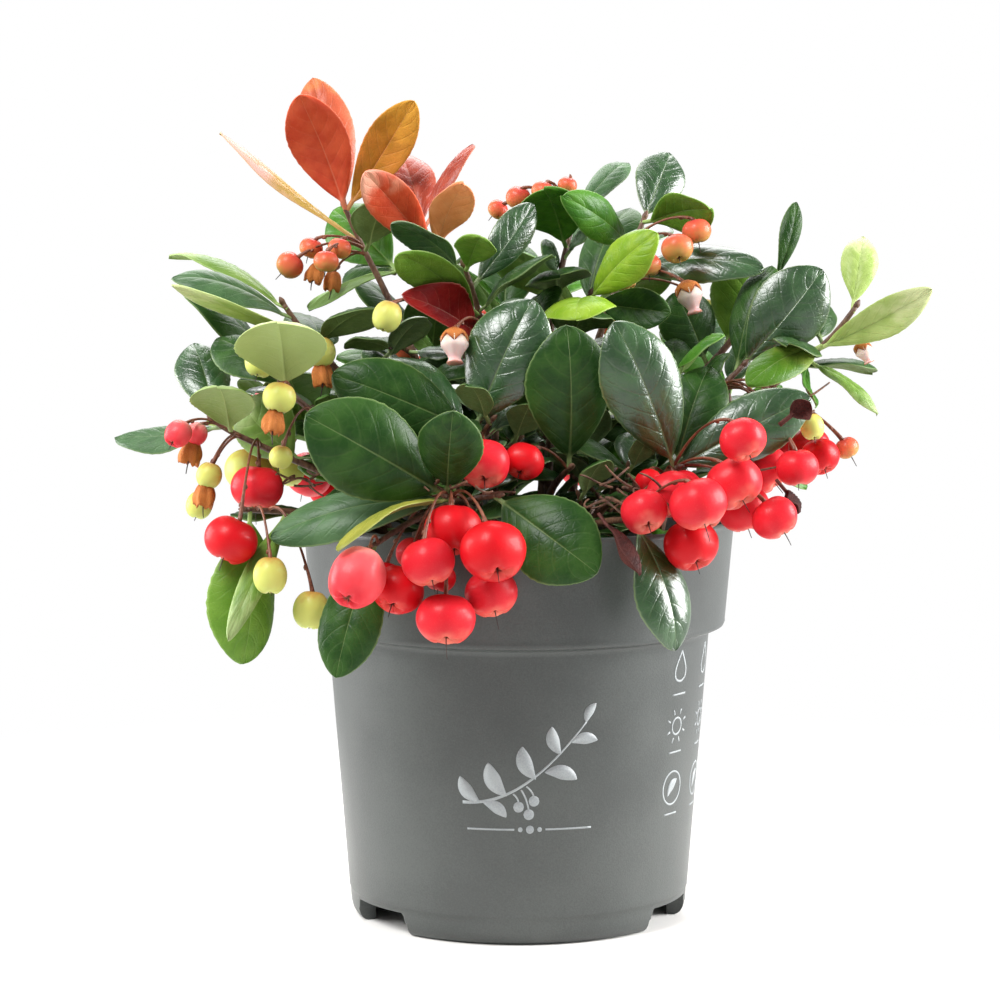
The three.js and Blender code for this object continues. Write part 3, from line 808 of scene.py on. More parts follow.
def leaf_item(mass: Mass, line: Line, spec: LeafSpec | Grown, depth: float) -> Item:
    """Returns a leaf set back by a depth, from its own reach or from the growth rule.

    Args:
        mass: the mass that bears it.
        line: its stem.
        spec: the leaf.
        depth: how far back it is set.

    Returns:
        The leaf, not yet kept.
    """
    root = root_on(line, spec.down)
    if isinstance(spec, Grown):
        turn, rise = math.radians(spec.turn), math.radians(spec.rise)
        level = spec.size * math.cos(rise)
        tip = root + np.array([level * math.cos(turn), level * math.sin(turn), spec.size * math.sin(rise)])
        tint = Tint.LIME if spec.pick > 0.92 else Tint.MID if spec.pick > 0.7 else Tint.DARK
        width, bow, cup = spec.size * 0.57, 0.1, 0.25
    else:
        tip = line.at(1.0) + np.array(spec.reach, float)
        width, bow, cup, tint = spec.width, spec.bow, spec.cup, spec.tint
    tip = tip + BACK * depth
    blade = Blade(root, tip, width, spec.roll, bow, cup)
    return Item(mass, blade.middle, blade.radius, blade=blade, tint=tint)


def stalk_line(root: Array, centre: Array) -> Line:
    """Returns the arched line of a fruit's stalk.

    Args:
        root: the place on the stem.
        centre: the fruit's middle.

    Returns:
        The line.
    """
    knee = root + (centre - root) * 0.45
    knee[2] = max(root[2], centre[2]) + 0.18 * np.linalg.norm(root - centre)
    return Line(root, knee, centre)


def fruit_item(mass: Mass, line: Line, spec: FruitSpec, depth: float) -> Item:
    """Returns a fruit on its stalk, set back by a depth.

    Args:
        mass: the mass that bears it.
        line: its stem.
        spec: the fruit.
        depth: how far back it is set.

    Returns:
        The fruit, not yet kept.
    """
    root = root_on(line, spec.down)
    centre = line.at(1.0) + np.array(spec.reach, float) + BACK * depth
    stalk = stalk_line(root, centre)
    return Item(
        mass,
        root + (centre - root) * 0.5,
        float(np.linalg.norm(root - centre)) / 2 + spec.radius,
        rod=stalk.at(np.arange(13) / 12),
        rod_radius=STALK_RADIUS,
        stalk=stalk,
        ball=(centre, spec.radius),
        kind=spec.kind,
    )


class Crown:
    """All the masses and what they bear, set clear of each other by the rule of the solids."""

    def __init__(self) -> None:
        """Lays out the stems, then the leaves and fruit that the solids bear."""
        self.stream = Stream(SEED)
        self.placed: list[Item] = []
        self.middles = np.zeros((0, 3))
        self.radii = np.zeros(0)
        fronts = [self.lay_out(name, shoots) for name, shoots in FRONT.items()]
        backs = []
        for row in BACK_ROWS:
            for i, bearing in enumerate(row.bearings):
                backs.append(self.back_mass(row, bearing, i))
        self.masses = fronts + backs
        for mass in fronts:
            for line, one in zip(mass.lines, mass.shoots):
                mass.items += [self.settle(leaf_item, mass, line, spec) for spec in one.leaves]
        for mass in fronts:
            for line, one in zip(mass.lines, mass.shoots):
                mass.items += [self.settle(fruit_item, mass, line, spec) for spec in one.fruits]
        for mass in backs:
            line = mass.lines[0]
            mass.items += [self.settle(leaf_item, mass, line, spec) for spec in mass.grown]
            mass.items += [self.settle(fruit_item, mass, line, spec) for spec in mass.shoots[0].fruits]
        for mass in self.masses:
            inner = spiral(self.stream, INNER_LEAVES, self.stream.spread(0, 180), 12, 4.2, 25, 11, 25)
            mass.items += [self.settle(leaf_item, mass, mass.lines[0], spec) for spec in inner]

    def keep(self, item: Item) -> None:
        """Notes a thing that has its place.

        Args:
            item: the thing.
        """
        self.placed.append(item)
        self.middles = np.vstack([self.middles, item.middle])
        self.radii = np.append(self.radii, item.radius)

    def lay_out(self, name: str, shoots: list[Shoot]) -> Mass:
        """Returns a mass with its stem lines, which are kept clear from then on.

        Args:
            name: the mass's name.
            shoots: its shoots, the main one first.

        Returns:
            The mass.
        """
        main = main_line(np.array(shoots[0].tip, float))
        stem = min(MASS_STEM, MASS_SHARE * main.length)
        fork = 1 - stem / main.length
        lines = [main]
        for side in shoots[1:]:
            lines.append(side_line(main, fork + 0.3 * (1 - fork), np.array(side.tip, float)))
        mass = Mass(name, shoots, lines, fork)
        for line in lines:
            rod = line.at(np.arange(41) / 40)
            self.keep(Item(mass, line.at(0.5), line.length / 2 + 2, rod=rod, rod_radius=BOUGH_RADIUS * 0.8))
        return mass

    def back_mass(self, row: Row, bearing: float, index: int) -> Mass:
        """Returns a mass of the rows behind.

        Args:
            row: its row.
            bearing: where it stands, in degrees.
            index: its number in the row.

        Returns:
            The mass.
        """
        turn = math.radians(bearing)
        height = row.height + row.sway * math.sin(2.4 * index + 0.6)
        tip = (row.radius * math.cos(turn), row.radius * math.sin(turn), height)
        first = self.stream.spread(bearing, 25)
        grown = spiral(self.stream, BACK_LEAVES, first, 0.5, LEAF_STEP, 50, 13, 29)
        mass = self.lay_out(f"{row.name}_{index + 1}",
                            [Shoot(tip, [], bunch(self.stream, bearing, row.ripe))])
        mass.grown = grown
        return mass

    def clear(self, item: Item) -> bool:
        """Returns whether a thing is clear of the pot and of all that has its place.

        Args:
            item: the thing.

        Returns:
            True where it touches nothing.
        """
        points = item.blade.edge if item.blade else item.rod[2:]
        if hits_pot(points, 0.0 if item.blade else 0.2):
            return False
        if item.ball and hits_pot(item.ball[0][None], item.ball[1]):
            return False
        gaps = np.linalg.norm(self.middles - item.middle, axis=1)
        near = np.flatnonzero(gaps < self.radii + item.radius + 2)
        return not any(clash(item, self.placed[i]) for i in near)

    def settle(
        self, make: Callable[..., Item], mass: Mass, line: Line, spec: LeafSpec | FruitSpec | Grown
    ) -> Item | None:
        """Sets a thing back or forward until it is clear, or leaves it out.

        Args:
            make: makes the thing at a depth.
            mass: the mass that bears it.
            line: its stem.
            spec: the leaf or fruit.

        Returns:
            The thing in its place, or None.
        """
        tip = line.at(1.0)
        for i in range(SETTLE_TRIES):
            depth = SETTLE_STEP * math.ceil(i / 2) * (1 if i % 2 else -1)
            item = make(mass, line, spec, depth)
            end = item.blade.point(1.0, 0.0, 0.0) if item.blade else item.ball[0]
            inside = np.linalg.norm(end - tip) < SPACE and abs(end[1]) < CROWN_DEPTH
            if inside and self.clear(item):
                self.keep(item)
                return item
        return None


# Berries that only the scene bears: their mass, the place down its stem, the centre and the radius
MORE_FRUIT = (
    ("right_middle", 8, (58.8, -24.0, 121.0), 5.1), ("centre_right", 4, (36.9, -46.0, 106.4), 5.8),
    ("centre_right", 5, (42.6, -44.0, 101.8), 5.0), ("centre_right", 5, (29.8, -46.0, 109.2), 3.5),
    ("front_left", 5, (-30.7, -58.0, 88.7), 3.2),
)


def has_room(crown: Crown, item: Item) -> bool:
    """Returns whether a berry hangs free of leaves and pot and at most just touches its neighbours.

    Args:
        crown: what hangs already.
        item: the berry.

    Returns:
        True where it has room.
    """
    centre, radius = item.ball
    if hits_pot(centre[None], radius):
        return False
    for other in crown.placed:
        if other.blade and other.blade.meets_ball(centre, radius):
            return False
        if other.ball and np.linalg.norm(centre - other.ball[0]) < radius + other.ball[1] - 0.3:
            return False
    return True


def add_berries(crown: Crown) -> None:
    """Hangs the berries of MORE_FRUIT on the crown's own stems, moved or smaller where it is full.

    Args:
        crown: the crown that gets them.
    """
    masses = {mass.name: mass for mass in crown.masses}
    depths, sizes = 14, 3
    for name, down, centre, radius in MORE_FRUIT:
        mass = masses[name]
        reach = tuple(np.array(centre) - mass.lines[0].at(1.0))
        for i in range(depths * sizes):
            spec = fruit(down, reach, radius * (1 - 0.1 * (i // depths)))
            depth = SETTLE_STEP * math.ceil(i % depths / 2) * (1 if i % 2 else -1)
            item = fruit_item(mass, mass.lines[0], spec, depth)
            if has_room(crown, item):
                crown.keep(item)
                mass.items.append(item)
                log.info("one more berry on %s", name)
                break


@dataclass
class Twigs:
    """The finer twigs and leaves that grow on from the limbs, within the reach of their mass."""

    crown: Crown
    step: float = 5.5
    inner_radius: float = 38.0
    inner_height: float = 135.0
    tries: int = 7
    reach_over: float = 4.0
    radius: float = 0.8
    leaves_each: int = 5
    leaf_step: float = 2.6
    stream: Stream = seeded(7)
    twigs: list[Line] = field(default_factory=list)
    leaves: list[Item] = field(default_factory=list)

    def __post_init__(self) -> None:
        """Grows twigs on every bough, then single leaves where a bough is still bare."""
        for grow in (self.grow_on, self.fill):
            for mass in self.crown.masses:
                grow(mass)

    def is_open(self, mass: Mass, point: Array) -> bool:
        """Returns whether a place on the photographed side is kept free, as the photo shows sky there."""
        outer = math.hypot(point[0], point[1]) > self.inner_radius or point[2] > self.inner_height
        return outer and mass.name in FRONT

    def fill(self, mass: Mass) -> None:
        """Sets single small leaves where a bough is still bare.

        Args:
            mass: the mass.
        """
        low, high = self.reach_of(mass)
        line = mass.lines[0]
        bearing = self.stream.spread(180, 180)
        for down in np.arange(14.0, line.length - 4, 3.0):
            bearing += GOLDEN_TURN
            for i in range(4):
                spec = Grown(
                    down, bearing + 90 * i, self.stream.spread(22, 25), self.stream.spread(13.5, 3.5),
                    self.stream.spread(0, 30), self.stream.draw(),
                )
                one = leaf_item(mass, line, spec, 0.0)
                if not self.is_open(mass, one.middle) and self.finds_room(one, low, high):
                    self.leaves.append(one)
                    break

    def finds_room(self, one: Item, low: Array, high: Array) -> bool:
        """Returns whether a leaf lies clear within a box, and notes it if so.

        Args:
            one: the leaf.
            low: the box's lowest corner.
            high: its highest corner.

        Returns:
            True where it has its place.
        """
        edge = one.blade.edge
        found = (edge >= low).all() and (edge <= high).all() and self.crown.clear(one)
        if found:
            self.crown.keep(one)
        return found

    def reach_of(self, mass: Mass) -> tuple[Array, Array]:
        """Returns the box that a mass and its bough reach, down to the compost.

        Args:
            mass: the mass.

        Returns:
            The lowest and the highest corner.
        """
        low, high = (np.array(corner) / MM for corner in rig.box(mass.name))
        foot, top = (np.array(corner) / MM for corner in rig.box(f"{mass.name}_stem"))
        low, high = np.minimum(low, foot) - self.reach_over, np.maximum(high, top) + self.reach_over
        low[1], high[1] = max(low[1], -CROWN_DEPTH), min(high[1], CROWN_DEPTH)
        return low, high

    def grow_on(self, mass: Mass) -> None:
        """Grows the twigs of one mass in golden turns up its bough.

        Args:
            mass: the mass.
        """
        low, high = self.reach_of(mass)
        bearing = self.stream.spread(180, 180)
        line = mass.lines[0]
        down = line.length - 7
        while down > 5:
            start = line.at(1 - down / line.length)
            if not self.is_open(mass, start):
                for i in range(self.tries):
                    if self.twig(mass, line, down, bearing + 61 * i, low, high):
                        break
            bearing += GOLDEN_TURN
            down -= self.stream.spread(self.step, 1.5)

    def twig(self, mass: Mass, parent: Line, down: float, bearing: float, low: Array, high: Array) -> bool:
        """Grows one twig with its leaves where there is room for at least two of them.

        Args:
            mass: the mass that it belongs to.
            parent: the bough that it leaves.
            down: how far below the bough's tip it leaves.
            bearing: the direction that it takes, in degrees.
            low: the lowest corner that it may reach.
            high: the highest corner that it may reach.

        Returns:
            True where the twig has its place.
        """
        crown = self.crown
        turn = math.radians(bearing)
        rise = math.radians(self.stream.spread(38, 18))
        length = self.stream.spread(13, 4)
        way = np.array([math.cos(turn) * math.cos(rise), math.sin(turn) * math.cos(rise), math.sin(rise)])
        share = 1 - down / parent.length
        line = side_line(parent, share, parent.at(share) + way * length)
        rod = line.at(np.arange(15) / 14)
        item = Item(mass, line.at(0.5), line.length / 2 + 2, rod=rod, rod_radius=self.radius)
        if not crown.clear(item):
            return False
        kept = len(crown.placed)
        crown.keep(item)
        found = []
        first = self.stream.spread(bearing, 60)
        for i in range(self.leaves_each):
            place = 0.2 + self.leaf_step * i
            spec = Grown(
                place, first + i * GOLDEN_TURN, self.stream.spread(48 - 15 * i, 12),
                self.stream.spread(17.5, 3.5), self.stream.spread(0, 30), self.stream.draw(),
            )
            if place > line.length - 3:
                break
            one = leaf_item(mass, line, spec, 0.0)
            if self.finds_room(one, low, high):
                found.append(one)
        if len(found) < 2:
            del crown.placed[kept:]
            crown.middles, crown.radii = crown.middles[:kept], crown.radii[:kept]
            return False
        self.twigs.append(line)
        self.leaves += found
        return True


# Meshes, in millimetres until they are made


def smooth_step(x: Array, low: float, high: float) -> Array:
    """Returns 0 below low, 1 above high and an even rise between them."""
    k = np.clip((x - low) / (high - low), 0, 1)
    return k * k * (3 - 2 * k)


class Casting:
    """Collects closed bodies that become one mesh."""

    def __init__(self) -> None:
        """Starts empty."""
        self.points: list[Array] = []
        self.faces: dict[int, list[Array]] = {3: [], 4: []}
        self.places: dict[int, list[Array]] = {3: [], 4: []}
        self.count = 0
        self.triangles = 0

    def add(self, points: Array, faces: list[Array], places: list[Array]) -> None:
        """Adds a closed body, with its faces turned outward.

        Args:
            points: the corners, in millimetres.
            faces: arrays of faces with three or four corners each.
            places: for each array the map's places of its corners.
        """
        volume = 0.0
        for face in faces:
            a = points[face[:, 0]]
            for k in range(1, face.shape[1] - 1):
                volume += np.einsum("ij,ij->i", a, np.cross(points[face[:, k]], points[face[:, k + 1]])).sum()
        for face, place in zip(faces, places):
            size = face.shape[1]
            if volume < 0:
                face, place = face[:, ::-1], place[:, ::-1]
            self.faces[size].append(face + self.count)
            self.places[size].append(place)
            self.triangles += len(face) * (size - 2)
        self.points.append(points)
        self.count += len(points)

    def loft(
        self, rings: Array, left: Array | None = None, right: Array | None = None,
        along: Array | None = None,
    ) -> None:
        """Adds a body through a row of closed rings, with a closed end on both sides.

        Args:
            rings: the rings' points, as rings by points by 3.
            left: where each face of a ring starts across the map.
            right: where it ends.
            along: where each ring lies along the map.
        """
        count, size = rings.shape[:2]
        if left is None:
            left = np.arange(size) / size
            right = left + 1 / size
        if along is None:
            along = np.linspace(0.02, 0.98, count)
        points = np.vstack([rings.reshape(-1, 3), rings[0].mean(0), rings[-1].mean(0)])
        i, j = np.meshgrid(np.arange(count - 1), np.arange(size), indexing="ij")
        i, j = i.ravel(), j.ravel()
        k = (j + 1) % size
        quads = np.stack([i * size + j, i * size + k, (i + 1) * size + k, (i + 1) * size + j], 1)
        corners = [(left[j], along[i]), (right[j], along[i]), (right[j], along[i + 1]),
                   (left[j], along[i + 1])]
        quad_places = np.stack([np.stack(c, -1) for c in corners], 1)
        j = np.arange(size)
        k = (j + 1) % size
        last = (count - 1) * size
        ends, end_places = [], []
        for base, centre, place, step in ((0, count * size, along[0], -1),
                                          (last, count * size + 1, along[-1], 1)):
            row = [base + j, base + k] if step > 0 else [base + k, base + j]
            ends.append(np.stack([*row, np.full(size, centre)], 1))
            start, end = (left, right) if step > 0 else (right, left)
            level = np.full(size, place)
            middle = np.stack([(left + right) / 2, level + 0.006 * step], -1)
            end_places.append(np.stack([np.stack([start, level], -1), np.stack([end, level], -1), middle], 1))
        self.add(points, [quads, np.concatenate(ends)], [quad_places, np.concatenate(end_places)])

    def tube(self, path: Array, radii: Array, sides: int = 8) -> None:
        """Adds a round rod of changing radius along a path."""
        self.loft(rings_on(path, np.repeat(radii[:, None], sides, 1)))

    def piece(self, name: str, slot: str, *nodes: str, mapped: bool = True) -> Object:
        """Returns the mesh as a piece that rides on the plant and stands for nodes.

        Args:
            name: the piece's name.
            slot: the record's slot that its finish is taken from.
            nodes: the solids that it replaces.
            mapped: whether it keeps its map.

        Returns:
            The new object, with smooth faces.
        """
        mesh = bpy.data.meshes.new(name)
        points = np.concatenate(self.points) * MM
        sizes = [size for size in (3, 4) if self.faces[size]]
        corners = [np.concatenate(self.faces[size]) for size in sizes]
        places = [np.concatenate(self.places[size]) for size in sizes]
        loops = np.concatenate([c.ravel() for c in corners])
        totals = np.concatenate([np.full(len(c), c.shape[1]) for c in corners])
        mesh.vertices.add(len(points))
        mesh.vertices.foreach_set("co", points.astype(np.float32).ravel())
        mesh.loops.add(len(loops))
        mesh.loops.foreach_set("vertex_index", loops.astype(np.int32))
        mesh.polygons.add(len(totals))
        mesh.polygons.foreach_set("loop_start", (np.cumsum(totals) - totals).astype(np.int32))
        mesh.polygons.foreach_set("use_smooth", np.ones(len(totals), bool))
        mesh.update(calc_edges=True)
        if mapped:
            layer = mesh.uv_layers.new(name=MAP)
            flat = np.concatenate([p.reshape(-1, 2) for p in places])
            layer.data.foreach_set("uv", flat.astype(np.float32).ravel())
        thing = bpy.data.objects.new(name, mesh)
        bpy.context.scene.collection.objects.link(thing)
        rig.ride(thing, "root")
        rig.slot(thing, slot)
        if nodes:
            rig.replaces(thing, *nodes)
        log.info("%s: %d triangles, stands for %d solids", name, self.triangles, len(nodes))
        return thing


def frames_on(path: Array) -> tuple[Array, Array]:
    """Returns two directions across a path at each of its points, with no twist between them.

    Args:
        path: the points.

    Returns:
        Both directions, one row for each point.
    """
    way = np.gradient(path, axis=0)
    way /= np.linalg.norm(way, axis=1, keepdims=True)
    side = unit(np.cross(way[0], np.eye(3)[np.argmin(np.abs(way[0]))]))
    sides = []
    for w in way:
        side = unit(side - w * (side @ w))
        sides.append(side)
    return np.array(sides), np.cross(way, sides)


def rings_on(path: Array, radii: Array) -> Array:
    """Returns rings round a path, with a radius for each of their points.

    Args:
        path: the rings' middles.
        radii: the radii, as rings by points.

    Returns:
        The points.
    """
    side, up = frames_on(path)
    turn = circle(radii.shape[1])
    return (
        path[:, None]
        + side[:, None] * (radii * np.cos(turn))[..., None]
        + up[:, None] * (radii * np.sin(turn))[..., None]
    )


@dataclass
class LeafMaker:
    """Makes the leaf bodies: stalk, ribbed and puckered blade, and rim."""

    plate: float = 0.17
    rim: float = 0.12
    stalk_radius: float = 0.42
    vein_count: float = 7.0
    vein_lean: float = 0.26
    teeth: int = 17
    rib_width: float = 0.5
    cells: int = 8
    cell_half: float = 0.46
    stalk_end: float = 0.1
    fine_half: tuple[float, ...] = (-1, -0.93, -0.8, -0.64, -0.48, -0.32, -0.18, -0.08, -0.03)
    plain_half: tuple[float, ...] = (-1, -0.84, -0.56, -0.28, -0.07)
    fine_rows: int = 38
    plain_rows: int = 20
    stream: Stream = seeded(31)

    def add(self, casting: Casting, blade: Blade, face: int, fine: bool) -> None:
        """Adds one leaf to a casting.

        Args:
            casting: where it goes.
            blade: its plate.
            face: 1 where the upper side lies on the plate's normal, -1 where it lies opposite.
            fine: whether it has the closer mesh.
        """
        draw = self.stream
        half_row = self.fine_half if fine else self.plain_half
        s = np.array([*half_row, 0, *(-x for x in reversed(half_row))])
        rows = self.fine_rows if fine else self.plain_rows
        even = np.linspace(0, 1, rows)
        t = np.concatenate([
            np.array([-1.0, -0.66, -0.33]) * (PETIOLE + 0.5) / blade.length,
            0.45 * even + 0.55 * (1 - np.cos(np.pi * even)) / 2,
        ])
        phase, wave = draw.draw() * 6.28, draw.spread(1.5, 0.5)
        gull, twist, curl = draw.spread(0.6, 0.3), draw.spread(0, 0.5), draw.spread(0.5, 0.5)
        variant = int(draw.draw() * 4) % 4
        vein_shift = 0.15 * variant
        stalk = 1 - smooth_step(t, 0.0, 0.2)
        tooth = 1 + 0.012 * np.cos(2 * np.pi * self.teeth * t) * smooth_step(t, 0.15, 0.3) * (t < 0.97)
        width = blade.half_width(t) * tooth
        width = np.sqrt(width**2 + (0.5 * stalk) ** 2 + 0.08**2)
        grid_t, grid_s = np.meshgrid(t, s, indexing="ij")
        a = np.abs(grid_s)
        v = grid_s * width[:, None]
        on_blade = smooth_step(grid_t, 0.0, 0.12)
        vein = self.vein_count * (grid_t - self.vein_lean * a**1.3) + vein_shift
        pucker = 0.12 * np.cos(2 * np.pi * vein) * np.clip(a * 3, 0, 1) * (1 - a**3)
        fold = gull * (a - a * a) * width[:, None] * 0.35
        ripple = 0.32 * a**2 * np.sin(2 * np.pi * wave * grid_t + phase + 1.3 * np.sign(grid_s))
        lean = twist * grid_s * (grid_t - 0.5)
        droop = -curl * smooth_step(grid_t, 0.7, 1.0) ** 2
        margin = -0.22 * smooth_step(a, 0.8, 1.0)
        rib = np.exp(-((v / self.rib_width) ** 2)) * (1 - np.clip(grid_t, 0, 1)) ** 0.6
        relief = on_blade * (pucker + fold + ripple + lean + droop + margin)
        plate = self.plate + (self.rim - self.plate) * smooth_step(a, 0.8, 1.0)
        round_off = self.stalk_radius * np.sqrt(np.clip(1 - 0.85 * grid_s**2, 0, 1))
        body = stalk[:, None] * round_off + (1 - stalk[:, None]) * plate
        upper = relief + body - 0.2 * rib * on_blade
        lower = relief - body - 0.34 * rib * on_blade
        top = blade.point(grid_t, v, face * upper)
        bottom = blade.point(grid_t, v, face * lower)
        rim_v = (width + 0.07)[:, None]
        rims = [
            blade.point(t[:, None], sign * rim_v, face * relief[:, [column]])
            for sign, column in ((1, -1), (-1, 0))
        ]
        rings = np.concatenate([top, rims[0], bottom[:, ::-1], rims[1]], 1)
        outer = 1.05
        cell = variant + 0.5 + self.cell_half * np.concatenate([s, [outer]])
        under = variant + 4.5 + self.cell_half * np.concatenate([[outer], s[::-1], [-outer]])
        close = variant + 0.5 - self.cell_half * outer
        left = np.concatenate([cell[:-1], under[:-1], [close]]) / self.cells
        right = np.concatenate([cell[1:], under[1:], [variant + 0.5 - self.cell_half]]) / self.cells
        along = np.where(
            t < 0, self.stalk_end * (1 + t * blade.length / (PETIOLE + 0.5)) * 0.9 + 0.01,
            self.stalk_end + 0.01 + (0.98 - self.stalk_end) * t,
        )
        casting.loft(rings, left, right, along)


def turned_frame(axis: Array) -> tuple[Array, Array]:
    """Returns two directions that stand square on an axis."""
    side = unit(np.cross(axis, UP if abs(axis[2]) < 0.9 else np.array([1.0, 0.0, 0.0])))
    return side, np.cross(axis, side)


def spin(casting: Casting, centre: Array, axis: Array, heights: Array, radii: Array) -> None:
    """Adds a turned body whose radii may differ round each ring.

    Args:
        casting: where it goes.
        centre: where its axis starts.
        axis: the direction of its axis.
        heights: where each ring lies on the axis.
        radii: the radii, as rings by points.
    """
    side, up = turned_frame(axis)
    turn = circle(radii.shape[1])
    heights = np.broadcast_to(np.asarray(heights, float).reshape(len(radii), -1), radii.shape)
    rings = (
        centre
        + axis * heights[..., None]
        + side * (radii * np.cos(turn))[..., None]
        + up * (radii * np.sin(turn))[..., None]
    )
    casting.loft(rings)


@dataclass
class FruitMaker:
    """Makes the fruit: berries with a star at their far end, withered flowers, buds, stalks and styles."""

    castings: dict[str, Casting]
    star_depth: float = 0.34
    star_width: float = 0.30
    dent_depth: float = 0.12
    dent_width: float = 0.42
    flatness: float = 0.91
    flower_length: float = 5.4
    stalk_radius: float = 0.36
    thread_radii: tuple[float, float] = (0.16, 0.08)
    stream: Stream = seeded(53)

    def hang_of(self, item: Item) -> Array:
        """Returns the direction of a fruit's axis, from its stalk to its star.

        Args:
            item: the fruit.

        Returns:
            The direction.
        """
        draw = self.stream
        way = item.stalk.heading(1.0)
        centre = item.ball[0]
        out = outward(centre[0], centre[1])
        chance = draw.scatter(0.35, 0.35, 0.3)
        axis = 0.35 * way + 0.3 * out - 0.9 * UP + chance
        if item.kind in (SPENT, BUD, GREEN):
            axis = 0.4 * way + 0.12 * out - 1.0 * UP + chance * 0.5
        return unit(axis)

    def add(self, item: Item, finish: str, withered: bool) -> None:
        """Adds one fruit with its stalk.

        Args:
            item: its place.
            finish: which berries' casting it goes to.
            withered: whether the dry flower still hangs on it.
        """
        axis = self.hang_of(item)
        centre, radius = item.ball
        self.stalk(item, centre - axis * radius * 0.8, axis)
        if item.kind is BUD:
            self.bud(centre, axis, radius)
        elif item.kind is SPENT:
            self.corolla(centre - axis * radius, axis, radius * 1.9)
        else:
            egg = self.stream.spread(0.18, 0.12) if item.kind is GREEN or finish == "pale" else 0.0
            self.berry(self.castings[finish], centre, axis, radius, egg)
            if withered:
                self.corolla(centre + axis * radius * 0.8, axis - 0.6 * UP, self.flower_length)
            else:
                self.style(centre, axis, radius)

    def berry(self, casting: Casting, centre: Array, axis: Array, radius: float, egg: float) -> None:
        """Adds a berry with a soft dent at its stalk and a star at its far end.

        Args:
            casting: where it goes.
            centre: its middle.
            axis: the direction from its stalk to its star.
            radius: its radius.
            egg: how much longer, and narrower towards its stalk, it is than a round, slightly flat one.
        """
        draw = self.stream
        rings, sides = (30, 30) if radius > 4 else (22, 20)
        angle = np.pi * (np.arange(rings) + 0.35) / (rings - 0.3)
        turn = circle(sides)
        lobes = draw.spread(0, 0.03)
        a, b = np.meshgrid(angle, turn, indexing="ij")
        size = radius * (1 + 0.025 * np.cos(5 * b + lobes) * np.sin(a) ** 2 + lobes * np.cos(2 * b + 1))
        star = np.exp(-(((np.pi - a) / (self.star_width + 0.06 * np.cos(5 * b))) ** 2))
        dent = np.exp(-((a / self.dent_width) ** 2))
        flat = self.flatness + draw.spread(0, 0.03) + egg
        size = size * (1 - 0.6 * egg * np.cos(a))
        height = -size * np.cos(a) * flat
        rays = self.star_depth * radius * star * (1 + 0.2 * np.cos(5 * b))
        height = height - rays + self.dent_depth * radius * dent
        spin(casting, centre, axis, height, size * np.sin(a))

    def style(self, centre: Array, axis: Array, radius: float) -> None:
        """Adds the dry thread that stays in the star.

        Args:
            centre: the berry's middle.
            axis: its axis.
            radius: its radius.
        """
        draw = self.stream
        length = draw.spread(1.8, 1.0) * (1 if radius > 4 else 0.8)
        start = centre + axis * radius * 0.5
        bend = np.array([draw.spread(0, 0.9), draw.spread(0, 0.9), draw.spread(-0.5, 0.6)])
        k = np.linspace(0, 1, 9)[:, None]
        path = start + axis * (k * (radius * 0.42 + length)) + bend * k**2 * length * 0.3
        self.castings["styles"].tube(path, np.linspace(*self.thread_radii, 9), 6)

    def stalk(self, item: Item, end: Array, axis: Array) -> None:
        """Adds the arched stalk, with two small scales under the fruit.

        Args:
            item: the fruit.
            end: where the stalk ends.
            axis: the fruit's axis.
        """
        start, knee = item.stalk.knots[0], item.stalk.knots[1]
        knee = knee + (end - item.stalk.knots[2]) * 0.4
        line = Line(start, knee, end - axis * 1.1, end + axis * 0.5)
        count = max(9, int(line.length / 1.1))
        share = np.linspace(0, 1, count)
        radii = self.stalk_radius - 0.08 * np.sin(np.pi * share) + 0.24 * share**6 + 0.12 * (1 - share) ** 6
        self.castings["stalks"].tube(line.at(share), radii, 9)
        side, up = turned_frame(line.heading(0.86))
        for k, share_at in ((0, 0.86), (1, 0.72)):
            base = line.at(share_at)
            way = line.heading(share_at)
            lean = side * math.cos(2.2 * k) + up * math.sin(2.2 * k)
            length = np.linspace(0, 1, 7)
            path = base + way * (length * 1.3)[:, None] + lean * (0.2 + 0.5 * length)[:, None]
            self.castings["stalks"].tube(path,
                                         self.stalk_radius * np.sin(np.pi * (0.12 + 0.86 * length)) + 0.05, 6)

    def corolla(self, start: Array, axis: Array, length: float) -> None:
        """Adds a withered, crumpled flower tube that hangs from a fruit.

        Args:
            start: where it starts.
            axis: its direction.
            length: its length.
        """
        draw = self.stream
        axis = unit(axis)
        k = np.concatenate([np.linspace(0, 1, 13), [0.97, 0.8, 0.6]])[:, None]
        inward = np.concatenate([np.ones(13), [0.82, 0.66, 0.5]])[:, None]
        turn = circle(30)
        belly = length * (0.2 + 0.24 * np.sin(0.78 * np.pi * np.clip(k, 0, 1)) ** 0.6) * inward
        broad = (0.1 + 0.12 * k) * np.cos(5 * turn + draw.spread(0, 3) + k)
        folds = 1 + broad + 0.08 * np.sin(12 * turn + 5 * k)
        ragged = np.cos(5 * turn + draw.spread(0, 3)) + 0.5 * np.sin(9 * turn)
        height = k * length + 0.09 * length * np.clip(k, 0, 1) ** 4 * ragged
        spin(self.castings["corollas"], start, axis, height, belly * folds)
        path = start + axis * np.linspace(length * 0.8, length * 1.5, 6)[:, None]
        drift = np.array([draw.spread(0, 0.6), draw.spread(0, 0.6), 0])
        path = path + drift * np.linspace(0, 1, 6)[:, None] ** 2
        self.castings["styles"].tube(path, np.linspace(0.2, 0.11, 6), 5)

